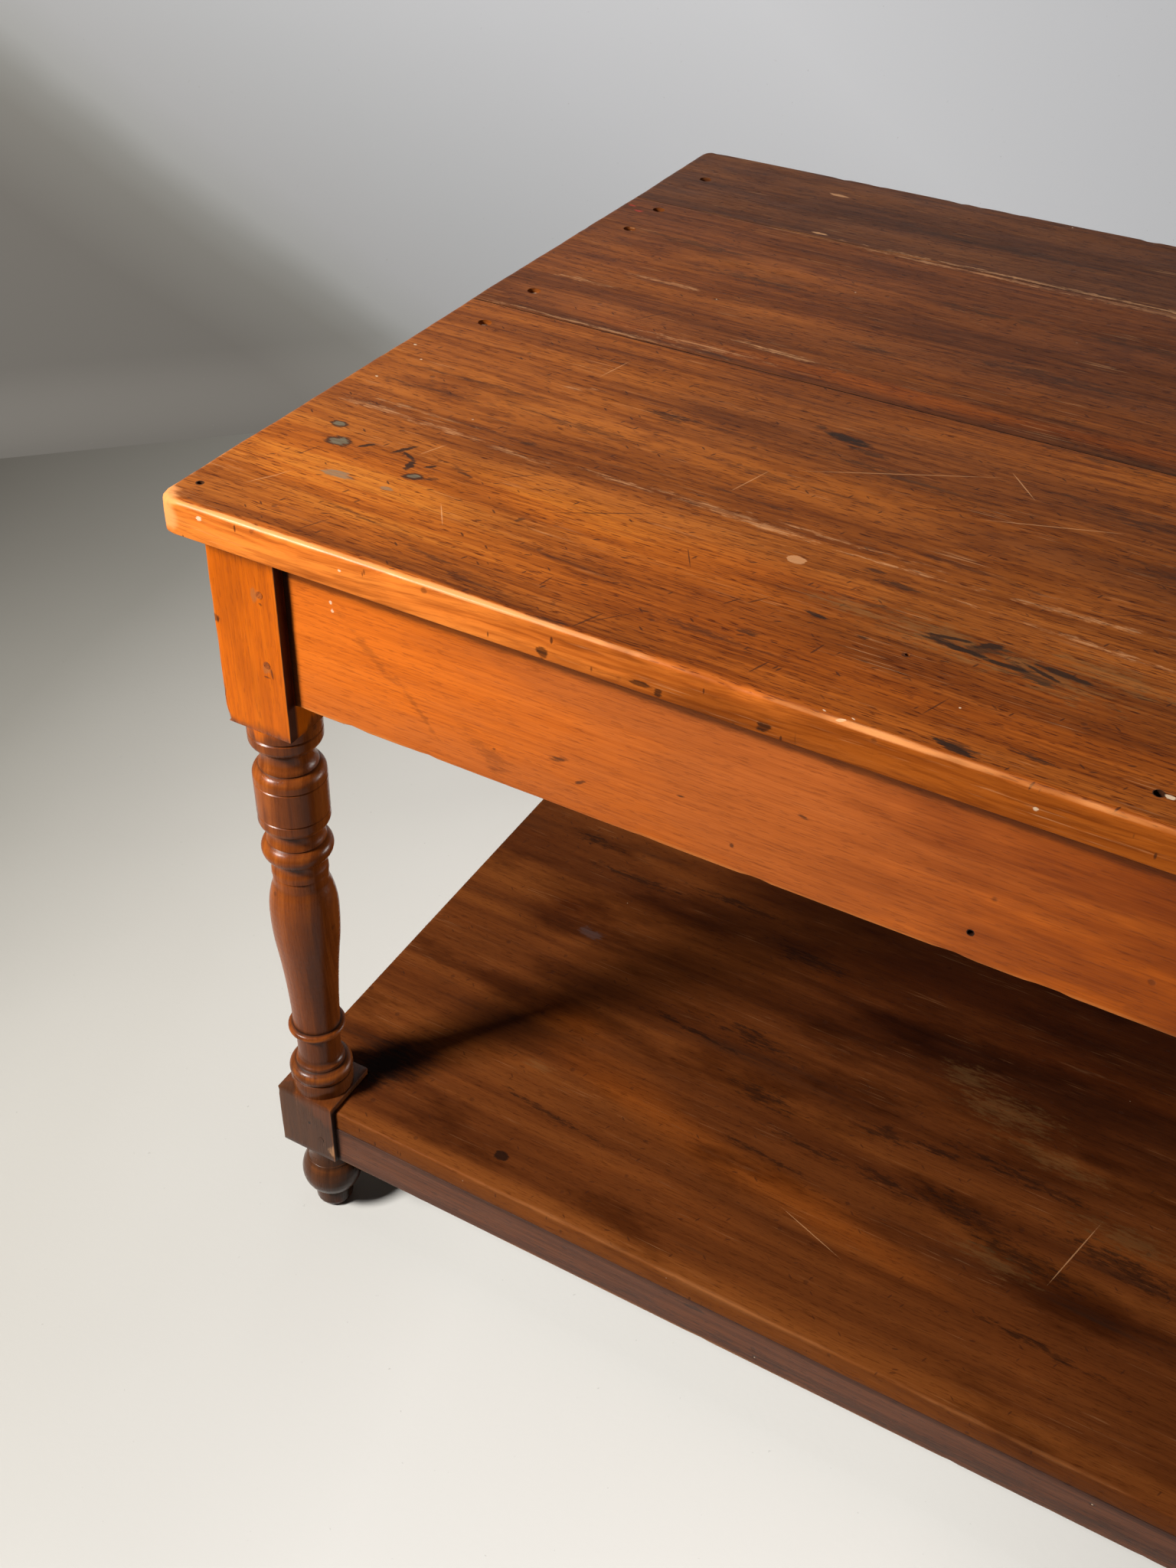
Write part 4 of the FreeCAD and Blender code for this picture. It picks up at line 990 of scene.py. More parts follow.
legLook = {
    "around": 96,
    "cornerSteps": 6,
    "step": 1.3,                 # between the stations of an arc, in mm
    # radius and height of the turning's stations in mm, with the bulge of the arc that leads there
    "turning": (
        (31.9, 635.4, 0), (31.9, 623.9, 0), (30.6, 622.7, 0), (31.8, 621.5, 0), (31.8, 616.2, 0),
        (27.2, 608.5, 0.17), (25.6, 607.8, 0), (25.4, 589.0, -0.14), (25.9, 586.4, 0), (25.0, 585.6, 0),
        (25.8, 585.0, 0), (31.8, 575.4, 0.15), (31.9, 571.5, 0), (30.8, 570.6, 0), (31.8, 569.7, 0),
        (31.7, 535.8, 0), (30.5, 534.9, 0), (31.5, 534.0, 0), (31.5, 529.0, 0), (27.4, 520.5, 0.18),
        (25.8, 519.9, 0), (26.0, 506.2, -0.12), (26.5, 504.0, 0), (25.6, 503.1, 0), (26.4, 502.4, 0),
        (26.6, 484.1, 0.295), (24.8, 483.5, 0), (25.2, 470.5, -0.12), (25.5, 464.6, 0), (24.2, 463.4, 0),
        (24.6, 462.4, 0), (25.2, 452.5, 0), (31.4, 416.7, 0.045), (29.5, 376.4, 0.014), (22.7, 283.7, -0.011),
        (22.8, 269.4, 0), (25.6, 268.8, 0), (25.6, 261.9, 0.30), (21.1, 261.3, 0), (20.9, 228.2, 0),
        (23.5, 220.6, -0.15), (24.1, 217.8, 0), (23.4, 217.1, 0), (24.8, 216.3, 0), (28.6, 201.8, 0.28),
        (28.0, 201.2, 0), (29.5, 200.5, 0), (30.1, 186.9, 0.05), (30.1, 184.8, 0),
    ),
    "foot": (
        (24.7, 105.3, 0), (24.7, 101.3, 0), (22.8, 72.6, -0.10), (23.2, 71.4, 0), (23.8, 69.8, 0.3),
        (19.3, 24.2, 0.2), (18.9, 23.0, 0), (19.1, 10.6, 0.02), (13.6, 0.0, 0.16),
    ),
    "upperBlock": (635.4, 820.5),
    "lowerBlock": (105.4, 184.8),
}


def arcTo(start, end, bulge, step):
    # stations along an arc whose rise is the given share of its chord
    (r0, z0), (r1, z1) = start, end
    chord = math.hypot(r1 - r0, z1 - z0)
    if not bulge:
        count = max(1, round(chord / step / 2.5))
        return [(r0 + (r1 - r0) * n / count, z0 + (z1 - z0) * n / count) for n in range(1, count + 1)]
    half = 2 * math.atan(2 * abs(bulge))
    count = max(5, round(chord / step))
    outward = (-(z1 - z0) / chord, (r1 - r0) / chord)
    made = []
    for n in range(1, count + 1):
        angle = -half + 2 * half * n / count
        share = 0.5 + math.sin(angle) / math.sin(half) / 2
        rise = (math.cos(angle) - math.cos(half)) / math.sin(half) * chord / 2 * math.copysign(1, bulge)
        made.append((r0 + (r1 - r0) * share + outward[0] * rise, z0 + (z1 - z0) * share + outward[1] * rise))
    return made


def turnedRows(stations):
    rows = [stations[0][:2]]
    for (r0, z0, skip), (r1, z1, bulge) in zip(stations[:-1], stations[1:]):
        rows += arcTo((r0, z0), (r1, z1), bulge, legLook["step"])
    return rows


def squareRing(half, corners, count, steps):
    # one ring of a square stick, each corner with a radius of its own
    perSide = count // 4
    ring = []
    for n in range(count):
        side, k = divmod(n, perSide)
        radius = corners[side]
        nextRadius = corners[(side + 1) % 4]
        if k < steps:
            angle = math.pi / 2 * k / steps
            x = -half + radius + radius * math.cos(math.pi + angle)
            y = -half + radius - radius * math.sin(angle)
            local = (x, y)
        else:
            share = (k - steps) / (perSide - steps)
            x = (-half + radius) + (2 * half - radius - nextRadius) * share
            local = (x, -half)
        for turn in range(side):
            local = (-local[1], local[0])
        ring.append(local)
    return ring


def makeLeg(name, seed, finish):
    draw = random.Random(seed)
    count = legLook["around"]
    centre = legAxis[name]
    half = legHalf / mm
    outX, outY = math.copysign(1, centre.x), math.copysign(1, centre.y)
    start = math.radians(-135 - 360 / count * legLook["cornerSteps"] / 2)
    angles = [start + math.tau * n / count for n in range(count)]
    rings, worn, grime = [], [], []

    def ringAt(height, inset, radii):
        ring = squareRing(half - inset, radii, count, legLook["cornerSteps"])
        return [(x, y, height) for x, y in ring]

    def blockRings(bottom, top, chamfer=0.7):
        heights = [top - chamfer * 0.3]
        heights += list(np.linspace(top - chamfer, bottom + chamfer, max(4, round((top - bottom) / 5))))
        heights += [bottom + chamfer * 0.3]
        base = [draw.uniform(0.9, 1.8) for side in range(4)]
        made = [(ringAt(top, chamfer, base), 0.6)]
        phases = [draw.uniform(0, 50) for side in range(4)]
        for height in heights:
            radii = []
            for side in range(4):
                rub = noise.noise(Vector((height * 0.05, phases[side], 0))) * 0.9
                chip = max(0, noise.noise(Vector((height * 0.16, phases[side] + 9, 4))) - 0.42) * 9
                radii.append(max(0.6, base[side] + rub + chip))
            if name == "leg_front_left" and bottom > 400:
                radii[0] += 4.5 * float(1 - ease(np.array(height), bottom + 2, bottom + 16))
            inset = 0.25 if height in (heights[0], heights[-1]) else 0.0
            made.append((ringAt(height, inset, radii), 0))
        made.append((ringAt(bottom, chamfer, base), 0.6))
        return made

    def addBlock(bottom, top, rub):
        for ring, edge in blockRings(bottom, top):
            rings.append(ring)
            for x, y, z in ring:
                inward = max(-x * outX, -y * outY)
                beside = min(-x * outX, -y * outY) < 9 - half and inward > half - 0.6
                offFlat = min(abs(abs(x) - half), abs(abs(y) - half))
                arris = max(abs(x), abs(y)) - min(abs(x), abs(y)) < 2.2
                worn.append(rub if arris else rub * edge * 0.6 + min(offFlat, 0.0))
                nearEnd = max(0.0, 1 - min(abs(z - bottom), abs(z - top)) / 4)
                # painted shade: the block's inner side faces beside the apron or rail are darkened where they lie
                # in shadow; a little darker near the block's ends
                grime.append(0.9 if beside and z < top - 1 else 0.0 if arris else 0.25 * nearEnd)

    def addTurning(stations):
        rows = turnedRows(stations)
        heights = np.array([z for r, z in rows])
        radii = np.array([r for r, z in rows])
        for radius, height in rows:
            close = np.abs(heights - height) < 5.0
            hollow = float(radii[close].mean() - radius)
            wobble = 1 + 0.0016 * math.sin(height * 0.9 + seed)
            rings.append([(math.cos(a) * radius * wobble, math.sin(a) * radius * wobble, height) for a in angles])
            worn.extend([min(1.0, max(0.0, -hollow * 0.33))] * count)
            grime.extend([min(0.9, max(0.0, hollow * 0.42 - 0.1))] * count)

    addBlock(*legLook["upperBlock"], 0.75)
    addTurning(legLook["turning"])
    addBlock(*legLook["lowerBlock"], 0.35)
    addTurning(legLook["foot"])

    vertices = [(centre.x + x * mm, centre.y + y * mm, z * mm) for ring in rings for x, y, z in ring]
    faces = []
    for n in range(len(rings) - 1):
        a, b = n * count, (n + 1) * count
        faces += [(a + k, b + k, b + (k + 1) % count, a + (k + 1) % count) for k in range(count)]
    topCentre, footCentre = len(vertices), len(vertices) + 1
    vertices += [(centre.x, centre.y, rings[0][0][2] * mm), (centre.x, centre.y, 0.0)]
    last = (len(rings) - 1) * count
    faces += [(topCentre, k, (k + 1) % count) for k in range(count)]
    faces += [(footCentre, last + (k + 1) % count, last + k) for k in range(count)]
    piece = pieceFrom(name.replace("leg_", "turnedLeg_"), vertices, faces, finish, 32.0)
    paint(piece, "worn", np.array(worn + [0.0, 0.0]))
    paint(piece, "grime", np.array(grime + [0.0, 0.3]))
    dress(piece, "leg_wood", name)


legWood = wood(
    "legWood", grain="z", palette="turned", heart=(0.09, 0.04), turnAxis=1, wander=0.03,
    zones=(
        ("block", 0.95, 0.15, [((0, 0, 728), (9000, 9000, 97), 0)]),
        ("footWood", 0.6, 0.8, [((0, 0, 170), (9000, 9000, 150), 0)]),
        ("footWood", 0.95, 0.1, [((0, 0, 90), (9000, 9000, 99), 0)]),
        # painted highlight: lighter orange on the front-left side of the front-left leg's barrel, bead and
        # baluster, where the key light falls
        ("orange", 0.5, 0.8, [((legX - 16, legY - 30, 565), (34, 34, 26), 0),
                              ((legX - 25, legY - 25, 494), (40, 40, 9), 0),
                              ((legX - 22, legY - 22, 420), (26, 26, 40), 0)]),
    ),
    marks=(
        (sootAndShadow, 0.85, 0.5, 1.0, 0.2, on(
            "block", (legX - 31, 736, 6, 4, 0), (legX - 32, 664, 4, 10, 0), (legX + 3, 150, 3, 3, 0))),
        (tone(150, 96, 52), 0.6, 0.5, 0.7, 0.2, on(
            "block", (legX + 12, 770, 4.5, 8, 10), (legX + 15, 703, 5, 6, -8))),
        (deepBrown, 0.65, 0.5, 0.5, 0.0, on(
            "block", (legX + 16, 763, 2.6, 1.6, 20), (legX + 20, 700, 1.4, 6, -10),
            (legX + 15, 695, 4, 1.2, 0))),
        (deepBrown, 0.3, 0.9, 0.8, 0.2, [
            *on("block", (legX + 6, 640, 30, 7, 0)), ((legX + 14, legY - 28, 340), (5, 20, 60), 6)]),
        (pale, 0.5, 0.6, 1.2, 0.3, on("block", (legX + 28, 118, 8, 12, 0))),
    ),
    edge=tone(206, 112, 36), edgeAmount=0.24, stain=0.12, streak=0.03, rough=0.26, coat=0.06,
    scratch=0.15, pores=0.25, contrast=0.45, fine=0.2, blotch=0.35, shine=0.16, clefts=0.15, bump=0.2,
)
for number, legName in enumerate(legNames):
    makeLeg(legName, number + 3, legWood)


# Aprons and lower rails: sawn boards with softened, nicked edges

railLook = {"cell": 8 * mm, "arris": 1.1 * mm, "tight": 0.3 * mm, "upper": 0.4 * mm, "nicks": 22, "lift": 0.7 * mm}
nailHole = {"x": -425 * mm, "z": 691 * mm, "radius": 2.2 * mm, "length": 16 * mm, "proud": 8 * mm}


def nickEdge(piece, axis, seed, share=1.0):
    # uneven lower edge with a few bruises; the piece only loses wood
    places = points(piece)
    low, high = places.min(0), places.max(0)
    run, height = places[:, axis], places[:, 2]
    draw = random.Random(seed)
    close = 1 - ease(height, low[2] + 1 * mm, low[2] + 12 * mm)
    lift = (waves(run, seed, (1.1, 0.33, 0.1, 0.035)) * 0.5 + 0.5) * railLook["lift"] * share
    for n in range(railLook["nicks"]):
        at = draw.uniform(low[axis], high[axis])
        wide = draw.uniform(4, 14) * mm
        lift += draw.uniform(0.3, 1.6) * mm * share * (1 - ease(np.abs(run - at), 0.2 * wide, wide))
    places[:, 2] += close * lift
    setPoints(piece, places)
    worn = (1 - ease(height, low[2] + 1.0 * mm, low[2] + 4 * mm)) * 0.8
    # painted shade: darker along the upper edge, under the top or shelf, and in a wedge at each end beside the leg
    # block, widening upwards, where the block's shadow falls
    grime = 0.5 * ease(height, high[2] - 7 * mm, high[2] - 1 * mm)
    reach = high[axis] - (2 + 5 * (height - low[2]) / (high[2] - low[2])) * mm
    ends = ease(np.abs(run) - reach, -2 * mm, 1 * mm)
    paint(piece, "worn", worn * (1 - ends))
    paint(piece, "grime", np.maximum(grime, ends * 0.9 * share))


apronMarks = (
    (whiteFleck, 0.65, 0.4, 0.9, 0.0, on("apron", (-938, 779, 1.5, 2, 0), (-937, 772, 1.5, 2, 0))),
    (ink, 0.75, 0.6, 1.0, 0.2, on(
        "apron", (-741, 710, 9, 3, -15), (-723, 696, 6, 2, -30), (-642, 717, 5, 1.6, 0),
        (-551, 737, 5, 1.6, 0), (-796, 698, 3, 1.2, 0), (-600, 690, 2, 2, 0))),
    (sootAndShadow, 0.95, 0.2, 0.1, 0.0, on("apron", (-425, 691, 3.2, 3.2, 0))),
    # painted shadow of the top's overhang: a dark band along the upper edge of the front and back aprons, under
    # the top
    (sootAndShadow, 0.5, 0.2, 0.1, 0.0, [((0, side * 430, 806), (9000, 90, 20), 0) for side in (-1, 1)]),
    (deepBrown, 0.28, 0.95, 1.6, 0.0, on(
        "apron", (-905, 745, 44, 5, 45), (-860, 705, 40, 3, 50), (-800, 690, 30, 12, 40))),
)
# the apron is bright orange at the left and darker red towards the right: partly the wood's own colour and partly
# painted light falling off away from the key
apronZones = (
    ("apronMid", 0.9, 0.8, [((-560, -430, 740), (330, 60, 400), 0)]),
    ("apronRed", 0.95, 0.8, [((-150, -430, 740), (480, 60, 400), 0)]),
    ("apronRed", 0.8, 0.8, [((1000, 0, 740), (900, 900, 400), 0)]),
    ("apronMid", 0.7, 0.9, [((-900, -430, 650), (500, 60, 66), 0)]),
)
railMarks = (
    (sootAndShadow, 0.7, 0.6, 1.2, 0.2, on("rail", (-586, 146, 16, 4, 0))),
    (ink, 0.6, 0.8, 1.6, 0.4, on("rail", (-300, 118, 500, 9, 0))),
)
apronKind = {
    "middle": (0.0, 0.74), "streak": 0.05, "scratch": 0.15, "edge": tone(214, 132, 66), "edgeAmount": 0.5,
    "rough": 0.45, "underside": "bare",
}
railKind = {
    "palette": "rail", "middle": (0.0, 0.12), "fine": 0.5, "stain": 0.3, "streak": 0.15,
    "edge": tone(196, 140, 90), "edgeAmount": 0.5, "rough": 0.5, "underside": "bare",
}
apronWood = wood(
    "apronWood", palette="apron", heart=(-0.43, -0.35), zones=apronZones, marks=apronMarks, contrast=0.4,
    fine=0.28, pores=0.3, clefts=0.04, stain=0.04, blotch=0.12, turnAxis=1, shine=0.12, **apronKind,
)
apronEndWood = wood(
    "apronEndWood", grain="y", palette="apronRed", heart=(-1.0, -0.35), contrast=0.8, fine=0.45, pores=0.4,
    stain=0.08, turnAxis=0, shine=0.2, **apronKind,
)
railWood = wood("railWood", heart=(-0.43, -0.2), marks=railMarks, turnAxis=1, **railKind)
railEndWood = wood("railEndWood", grain="y", heart=(-1.0, -0.2), turnAxis=0, **railKind)


def showSides(node, side):
    # the part of an apron or rail between the legs; its tenons lie inside them
    low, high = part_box(node)
    if side in ("front", "back"):
        reach = legAxis["leg_front_right"].x - legHalf
        return (-reach, low.y, low.z), (reach, high.y, high.z)
    reach = abs(legAxis["leg_front_right"].y) - legHalf
    return (low.x, -reach, low.z), (high.x, reach, high.z)


def makeRails():
    for kind, slot, longFinish, endFinish in (
        ("apron", "apron_wood", apronWood, apronEndWood), ("lower_rail", "rail_wood", railWood, railEndWood)
    ):
        for number, side in enumerate(("front", "back", "left", "right")):
            node = f"{kind}_{side}"
            low, high = showSides(node, side)
            long = side in ("front", "back")
            tight = railLook["tight"]
            arrises = (tight, tight, railLook["arris"], railLook["upper"])
            piece = slab(
                "sawn_" + node, low, high, "y" if long else "x", railLook["cell"], arrises, arrises,
                (tight,) * 4, longFinish if long else endFinish, 1,
            )
            if node == "apron_front":
                hole = rod((0, 0, 0), nailHole["radius"], nailHole["length"], 14)
                x, z, y = points(hole).T
                y += low[1] - nailHole["proud"]
                setPoints(hole, np.stack([x + nailHole["x"], y, z + nailHole["z"]], axis=1))
                hole.data.flip_normals()
                cutAway(piece, [hole])
            nickEdge(piece, 0 if long else 1, number + len(kind), 1.0 if kind == "apron" else 0.6)
            dress(piece, slot, node)


makeRails()


# Shelf: three tight boards, the outer ones notched round the foot blocks

shelfLook = {
    "cell": 8 * mm,
    "arris": 2.2 * mm,
    "seamRound": 0.25 * mm,
    "seam": 140.2 * mm,
    "gap": 1 * mm,
    "over": 10 * mm,             # how far a notch's cutter runs past the board
    "edgeWave": 1.1 * mm,
    "sink": 0.5 * mm,
}
shelfReach = (1050.3 * mm, 436.2 * mm)
shelfMarks = (
    (blueGrey, 0.4, 0.5, 0.9, 0.2, on("shelf", (-885, -86, 16, 8, 0))),
    (sootAndShadow, 0.85, 0.3, 0.4, 0.0, on("shelf", (-812, -398, 9, 7, 0))),
    # painted shadow: a dark streak running from the front-left foot block across the shelf, where the leg's shadow
    # falls
    (sootAndShadow, 0.95, 0.9, 0.5, 0.0, on("shelf", (-975, -362, 76, 40, 50))),
    (sootAndShadow, 0.72, 0.9, 1.8, 0.35, on(
        "shelf", (-955, 55, 36, 9, 0), (-666, -137, 46, 12, -6), (-630, -203, 40, 12, -6),
        (-503, -186, 34, 10, 0), (-448, -180, 28, 7, 0), (-404, -238, 60, 14, -8), (-660, 0, 50, 12, -4),
        (-256, -220, 70, 16, -6), (-560, -240, 50, 5, -6), (-720, -160, 60, 5, -6), (-360, -170, 80, 8, -4),
        (-600, -270, 50, 4, -4), (-480, -240, 36, 9, -6), (-340, -260, 60, 12, -8), (-300, -340, 60, 5, -4),
        (-880, 20, 60, 8, 0), (-760, 40, 70, 7, 0), (-800, -330, 60, 4, -6))),
    (chalk, 0.22, 0.95, 1.4, 0.2, on(
        "shelf", (-455, -74, 30, 20, 0), (-405, -98, 60, 26, 0), (-345, -134, 60, 16, -6),
        (-361, -275, 46, 12, -4), (-257, -190, 60, 18, 0), (-836, -282, 22, 7, 0))),
    (pale, 0.4, 0.4, 0.3, 0.0, on("shelf", (-300, -230, 52, 0.7, 75), (-520, -330, 40, 0.6, -20))),
)
shelfZones = (
    # partly darker wood and partly painted shade: the shelf darkens behind its front part, where the aprons'
    # shadow falls
    ("shelfDarkAndShade", 0.95, 0.9, on(
        "shelf", (-430, 70, 560, 330, -4), (0, -120, 500, 60, 0), (500, 100, 600, 160, 0),
        (-930, -60, 80, 60, 0))),
    ("orange", 0.35, 0.9, on(
        "shelf", (-720, -270, 140, 40, -8), (-520, -310, 160, 34, -6), (-840, -210, 70, 30, 0))),
)
shelfWood = wood(
    "shelfWood", palette="shelf", middle=(0.0, levelFaces["shelf"] * mm), heart=(0.1, -0.16),
    zones=shelfZones, marks=shelfMarks, contrast=0.7, stain=0.5, streak=0.1, scratch=0.45, fine=0.2,
    underside="bare", shine=0.02, blotch=0.7, pores=0.4, hairs=0.12, weights=(0.82, 0.14, 0.04),
    edge=tone(168, 110, 66), edgeAmount=0.4, ticks=0.6,
)


def makeShelf():
    reachX, reachY = shelfReach
    seam, arris, tight = shelfLook["seam"], shelfLook["arris"], shelfLook["seamRound"]
    notchX = legAxis["leg_front_right"].x - legHalf - shelfLook["gap"]
    notchY = abs(legAxis["leg_front_right"].y) - legHalf - shelfLook["gap"]
    over = shelfLook["over"]
    for name, front, back in (("front", -reachY, -seam), ("middle", -seam, seam), ("back", seam, reachY)):
        arrises = (arris, arris, arris if name == "front" else tight, arris if name == "back" else tight)
        piece = slab(
            "shelfBoard_" + name, (-reachX, front, shelfLow), (reachX, back, shelfHigh), "z",
            shelfLook["cell"], arrises, arrises, (tight,) * 4, shelfWood,
        )
        if name != "middle":
            sign = -1 if name == "front" else 1
            cutters = []
            for side in (-1, 1):
                xs = sorted((side * notchX, side * (reachX + over)))
                ys = sorted((sign * notchY, sign * (reachY + over)))
                cutters.append(block((xs[0], ys[0], shelfLow - over), (xs[1], ys[1], shelfHigh + over)))
            cutAway(piece, cutters)
        places = points(piece)
        x, y, z = places.T.copy()
        outer = ease(np.abs(y), reachY - 12 * mm, reachY - 1 * mm)
        y -= np.sign(y) * outer * (waves(x, 21, (1.2, 0.4, 0.09, 0.03)) * 0.5 + 0.5) * shelfLook["edgeWave"]
        upper = ease(z, shelfHigh - 5 * mm, shelfHigh - 1 * mm)
        z -= upper * (cloudy(places, 4.0, 3) * 0.5 + 0.5) * shelfLook["sink"]
        setPoints(piece, np.stack([x, y, z], axis=1))
        gapEdge = np.minimum(reachX - np.abs(places[:, 0]), reachY - np.abs(places[:, 1]))
        rim = (1 - ease(gapEdge, 1 * mm, 6 * mm)) * (1 - ease(np.abs(z - shelfHigh), 1.5 * mm, 4.5 * mm))
        frontRim = ease(-y, reachY - 12 * mm, reachY - 4 * mm)
        paint(piece, "worn", rim * (0.2 + 0.3 * frontRim))
        foot = 1 - ease(z - shelfLow, 0.5 * mm, 2.5 * mm)
        paint(piece, "grime", 0.6 * foot * (1 - ease(gapEdge, 1 * mm, 5 * mm)))
        dress(piece, "shelf_wood", f"shelf_{name}_board")


makeShelf()


# Pegs, screws and putty: Geometry Nodes put one shape at every place

pegLook = {"Radius": 3.3 * mm, "Proud": 0.3 * mm, "Length": 12 * mm, "Ragged": 0.55 * mm, "Seed": 5}
screwLook = {
    "Head": 5.2 * mm, "Thick": 3.4 * mm, "Slot": 1.1 * mm, "Shank": 2.4 * mm, "Length": 55 * mm, "Seed": 2,
}
puttyLook = {"Radius": 6.0 * mm, "Thick": 1.4 * mm, "Uneven": 0.9 * mm, "Seed": 8}
headTop = topHigh - topLook["boreDepth"] + screwLook["Thick"]


def startTree(name, sizes):
    tree = bpy.data.node_groups.new(name, "GeometryNodeTree")
    tree.interface.new_socket("Geometry", in_out="INPUT", socket_type="NodeSocketGeometry")
    for label, value in sizes.items():
        kind = "NodeSocketInt" if isinstance(value, int) else "NodeSocketFloat"
        tree.interface.new_socket(label, in_out="INPUT", socket_type=kind)
    tree.interface.new_socket("Geometry", in_out="OUTPUT", socket_type="NodeSocketGeometry")
    graph = Graph(tree)
    entry = tree.nodes.new("NodeGroupInput")
    named = {socket.name: Wire(graph, socket) for socket in entry.outputs if socket.name}
    return graph, named


def scatter(graph, named, shape, tilt):
    # puts the shape on every point, turned to the point's own facing and spun at random
    facing = graph.node("GeometryNodeInputNamedAttribute", {"data_type": "FLOAT_VECTOR"}, {"Name": "facing"})
    aligned = graph.node("FunctionNodeAlignRotationToVector", {"axis": "Z"}, {"Vector": facing})
    stretch = graph.node("FunctionNodeRandomValue", {"data_type": "FLOAT_VECTOR"},
                         {0: (0.92, 0.92, 1.0), 1: (1.06, 1.06, 1.0), "Seed": named["Seed"]})
    values = {"Points": named["Geometry"], "Instance": shape, "Rotation": aligned, "Scale": stretch}
    placed = graph.node("GeometryNodeInstanceOnPoints", None, values)
    spin = graph.node("FunctionNodeRandomValue", {"data_type": "FLOAT_VECTOR"},
                      {0: (-tilt, -tilt, 0.0), 1: (tilt, tilt, math.tau), "Seed": named["Seed"]})
    turned = graph.node("GeometryNodeRotateInstances", None, {"Instances": placed, "Rotation": spin})
    return graph.node("GeometryNodeRealizeInstances", None, {"Geometry": turned})


def jitter(graph, geometry, amount, scale):
    where = graph.node("GeometryNodeInputPosition")
    push = graph.node("ShaderNodeTexNoise", None, {"Vector": where, "Scale": scale, "Detail": 2.0}, "Color")
    centred = graph.node("ShaderNodeVectorMath", {"operation": "SUBTRACT"}, {0: push, 1: (0.5, 0.5, 0.5)})
    scaled = graph.node("ShaderNodeVectorMath", {"operation": "SCALE"}, {0: centred, "Scale": amount})
    return graph.node("GeometryNodeSetPosition", None, {"Geometry": geometry, "Offset": scaled})


def endTree(graph, geometry, material):
    smooth = graph.node("GeometryNodeSetShadeSmooth", None, {"Geometry": geometry, "Shade Smooth": False})
    done = graph.node("GeometryNodeSetMaterial", None, {"Geometry": smooth, "Material": material})
    groupEnd = graph.tree.nodes.new("NodeGroupOutput")
    graph.tree.links.new(done.socket, groupEnd.inputs[0])
    return graph.tree


def grow(name, tree, sizes, places, material, slot, *nodes):
    # the points carry the tree as a modifier, which is then turned to a plain mesh
    piece = pieceFrom(name, [at for at, facing in places], [], material)
    layer = piece.data.attributes.new("facing", "FLOAT_VECTOR", "POINT")
    layer.data.foreach_set("vector", np.array([facing for at, facing in places], float).reshape(-1))
    modifier = piece.modifiers.new("grow", "NODES")
    modifier.node_group = tree
    for socket in tree.interface.items_tree:
        if socket.in_out == "INPUT" and socket.name in sizes:
            modifier[socket.identifier] = sizes[socket.name]
    settle(piece)
    for name in ("worn", "grime"):
        paint(piece, name, np.zeros(len(piece.data.vertices)))
    dress(piece, slot, *nodes)


def pegTree(material):
    graph, named = startTree("pegs", pegLook)
    peg = graph.node("GeometryNodeMeshCylinder", {"fill_type": "TRIANGLE_FAN"},
                     {"Vertices": 14, "Side Segments": 6, "Fill Segments": 3,
                      "Radius": named["Radius"], "Depth": named["Length"]}, "Mesh")
    lift = graph.join(0.0, 0.0, named["Proud"] - named["Length"] * 0.5)
    raised = graph.node("GeometryNodeTransform", None, {"Geometry": peg, "Translation": lift})
    rough = jitter(graph, scatter(graph, named, raised, 0.05), named["Ragged"], 420.0)
    return endTree(graph, rough, material)


def screwTree(material):
    graph, named = startTree("screws", screwLook)
    head = graph.node("GeometryNodeMeshCylinder", None,
                      {"Vertices": 28, "Radius": named["Head"], "Depth": named["Thick"]}, "Mesh")
    lowered = graph.node("GeometryNodeTransform", None,
                         {"Geometry": head, "Translation": graph.join(0.0, 0.0, named["Thick"] * -0.5)})
    slotSize = graph.join(named["Head"] * 3.0, named["Slot"], named["Thick"] * 0.9)
    bar = graph.node("GeometryNodeMeshCube", None, {"Size": slotSize}, "Mesh")
    meshes = {"Mesh 1": lowered, "Mesh 2": bar}
    cut = graph.node("GeometryNodeMeshBoolean", {"operation": "DIFFERENCE"}, meshes, "Mesh")
    shank = graph.node("GeometryNodeMeshCone", None,
                       {"Vertices": 12, "Radius Top": named["Shank"] * 0.3, "Radius Bottom": named["Shank"],
                        "Depth": named["Length"]}, "Mesh")
    hung = graph.node("GeometryNodeTransform", None,
                      {"Geometry": shank, "Translation": graph.join(0.0, 0.0, named["Thick"] * -0.95),
                       "Rotation": (math.pi, 0.0, 0.0)})
    both = graph.tree.nodes.new("GeometryNodeJoinGeometry")
    for part in (cut, hung):
        graph.tree.links.new(part.socket, both.inputs[0])
    joined = Wire(graph, both.outputs[0])
    return endTree(graph, scatter(graph, named, joined, 0.0), material)


def puttyTree(material):
    graph, named = startTree("putty", puttyLook)
    disc = graph.node("GeometryNodeMeshCylinder", {"fill_type": "TRIANGLE_FAN"},
                      {"Vertices": 28, "Side Segments": 2, "Fill Segments": 6,
                       "Radius": named["Radius"], "Depth": named["Thick"]}, "Mesh")
    raised = graph.node("GeometryNodeTransform", None,
                        {"Geometry": disc, "Translation": graph.join(0.0, 0.0, named["Thick"] * 0.5)})
    rough = jitter(graph, scatter(graph, named, raised, 0.0), named["Uneven"], 260.0)
    return endTree(graph, rough, material)


def steel():
    finish = Finish("oldSteel")
    cloud = finish.noise(finish.place, scale=500.0, detail=4.0)
    colour = finish.blend(finish.fade(cloud, 0.4, 0.65), tone(54, 50, 48), tone(96, 62, 42))
    normal = finish.node("ShaderNodeBump", None, {"Strength": 0.4, "Distance": 0.0004, "Height": cloud})
    return finish.surface(colour, 0.45 + cloud * 0.3, normal, metal=0.7)


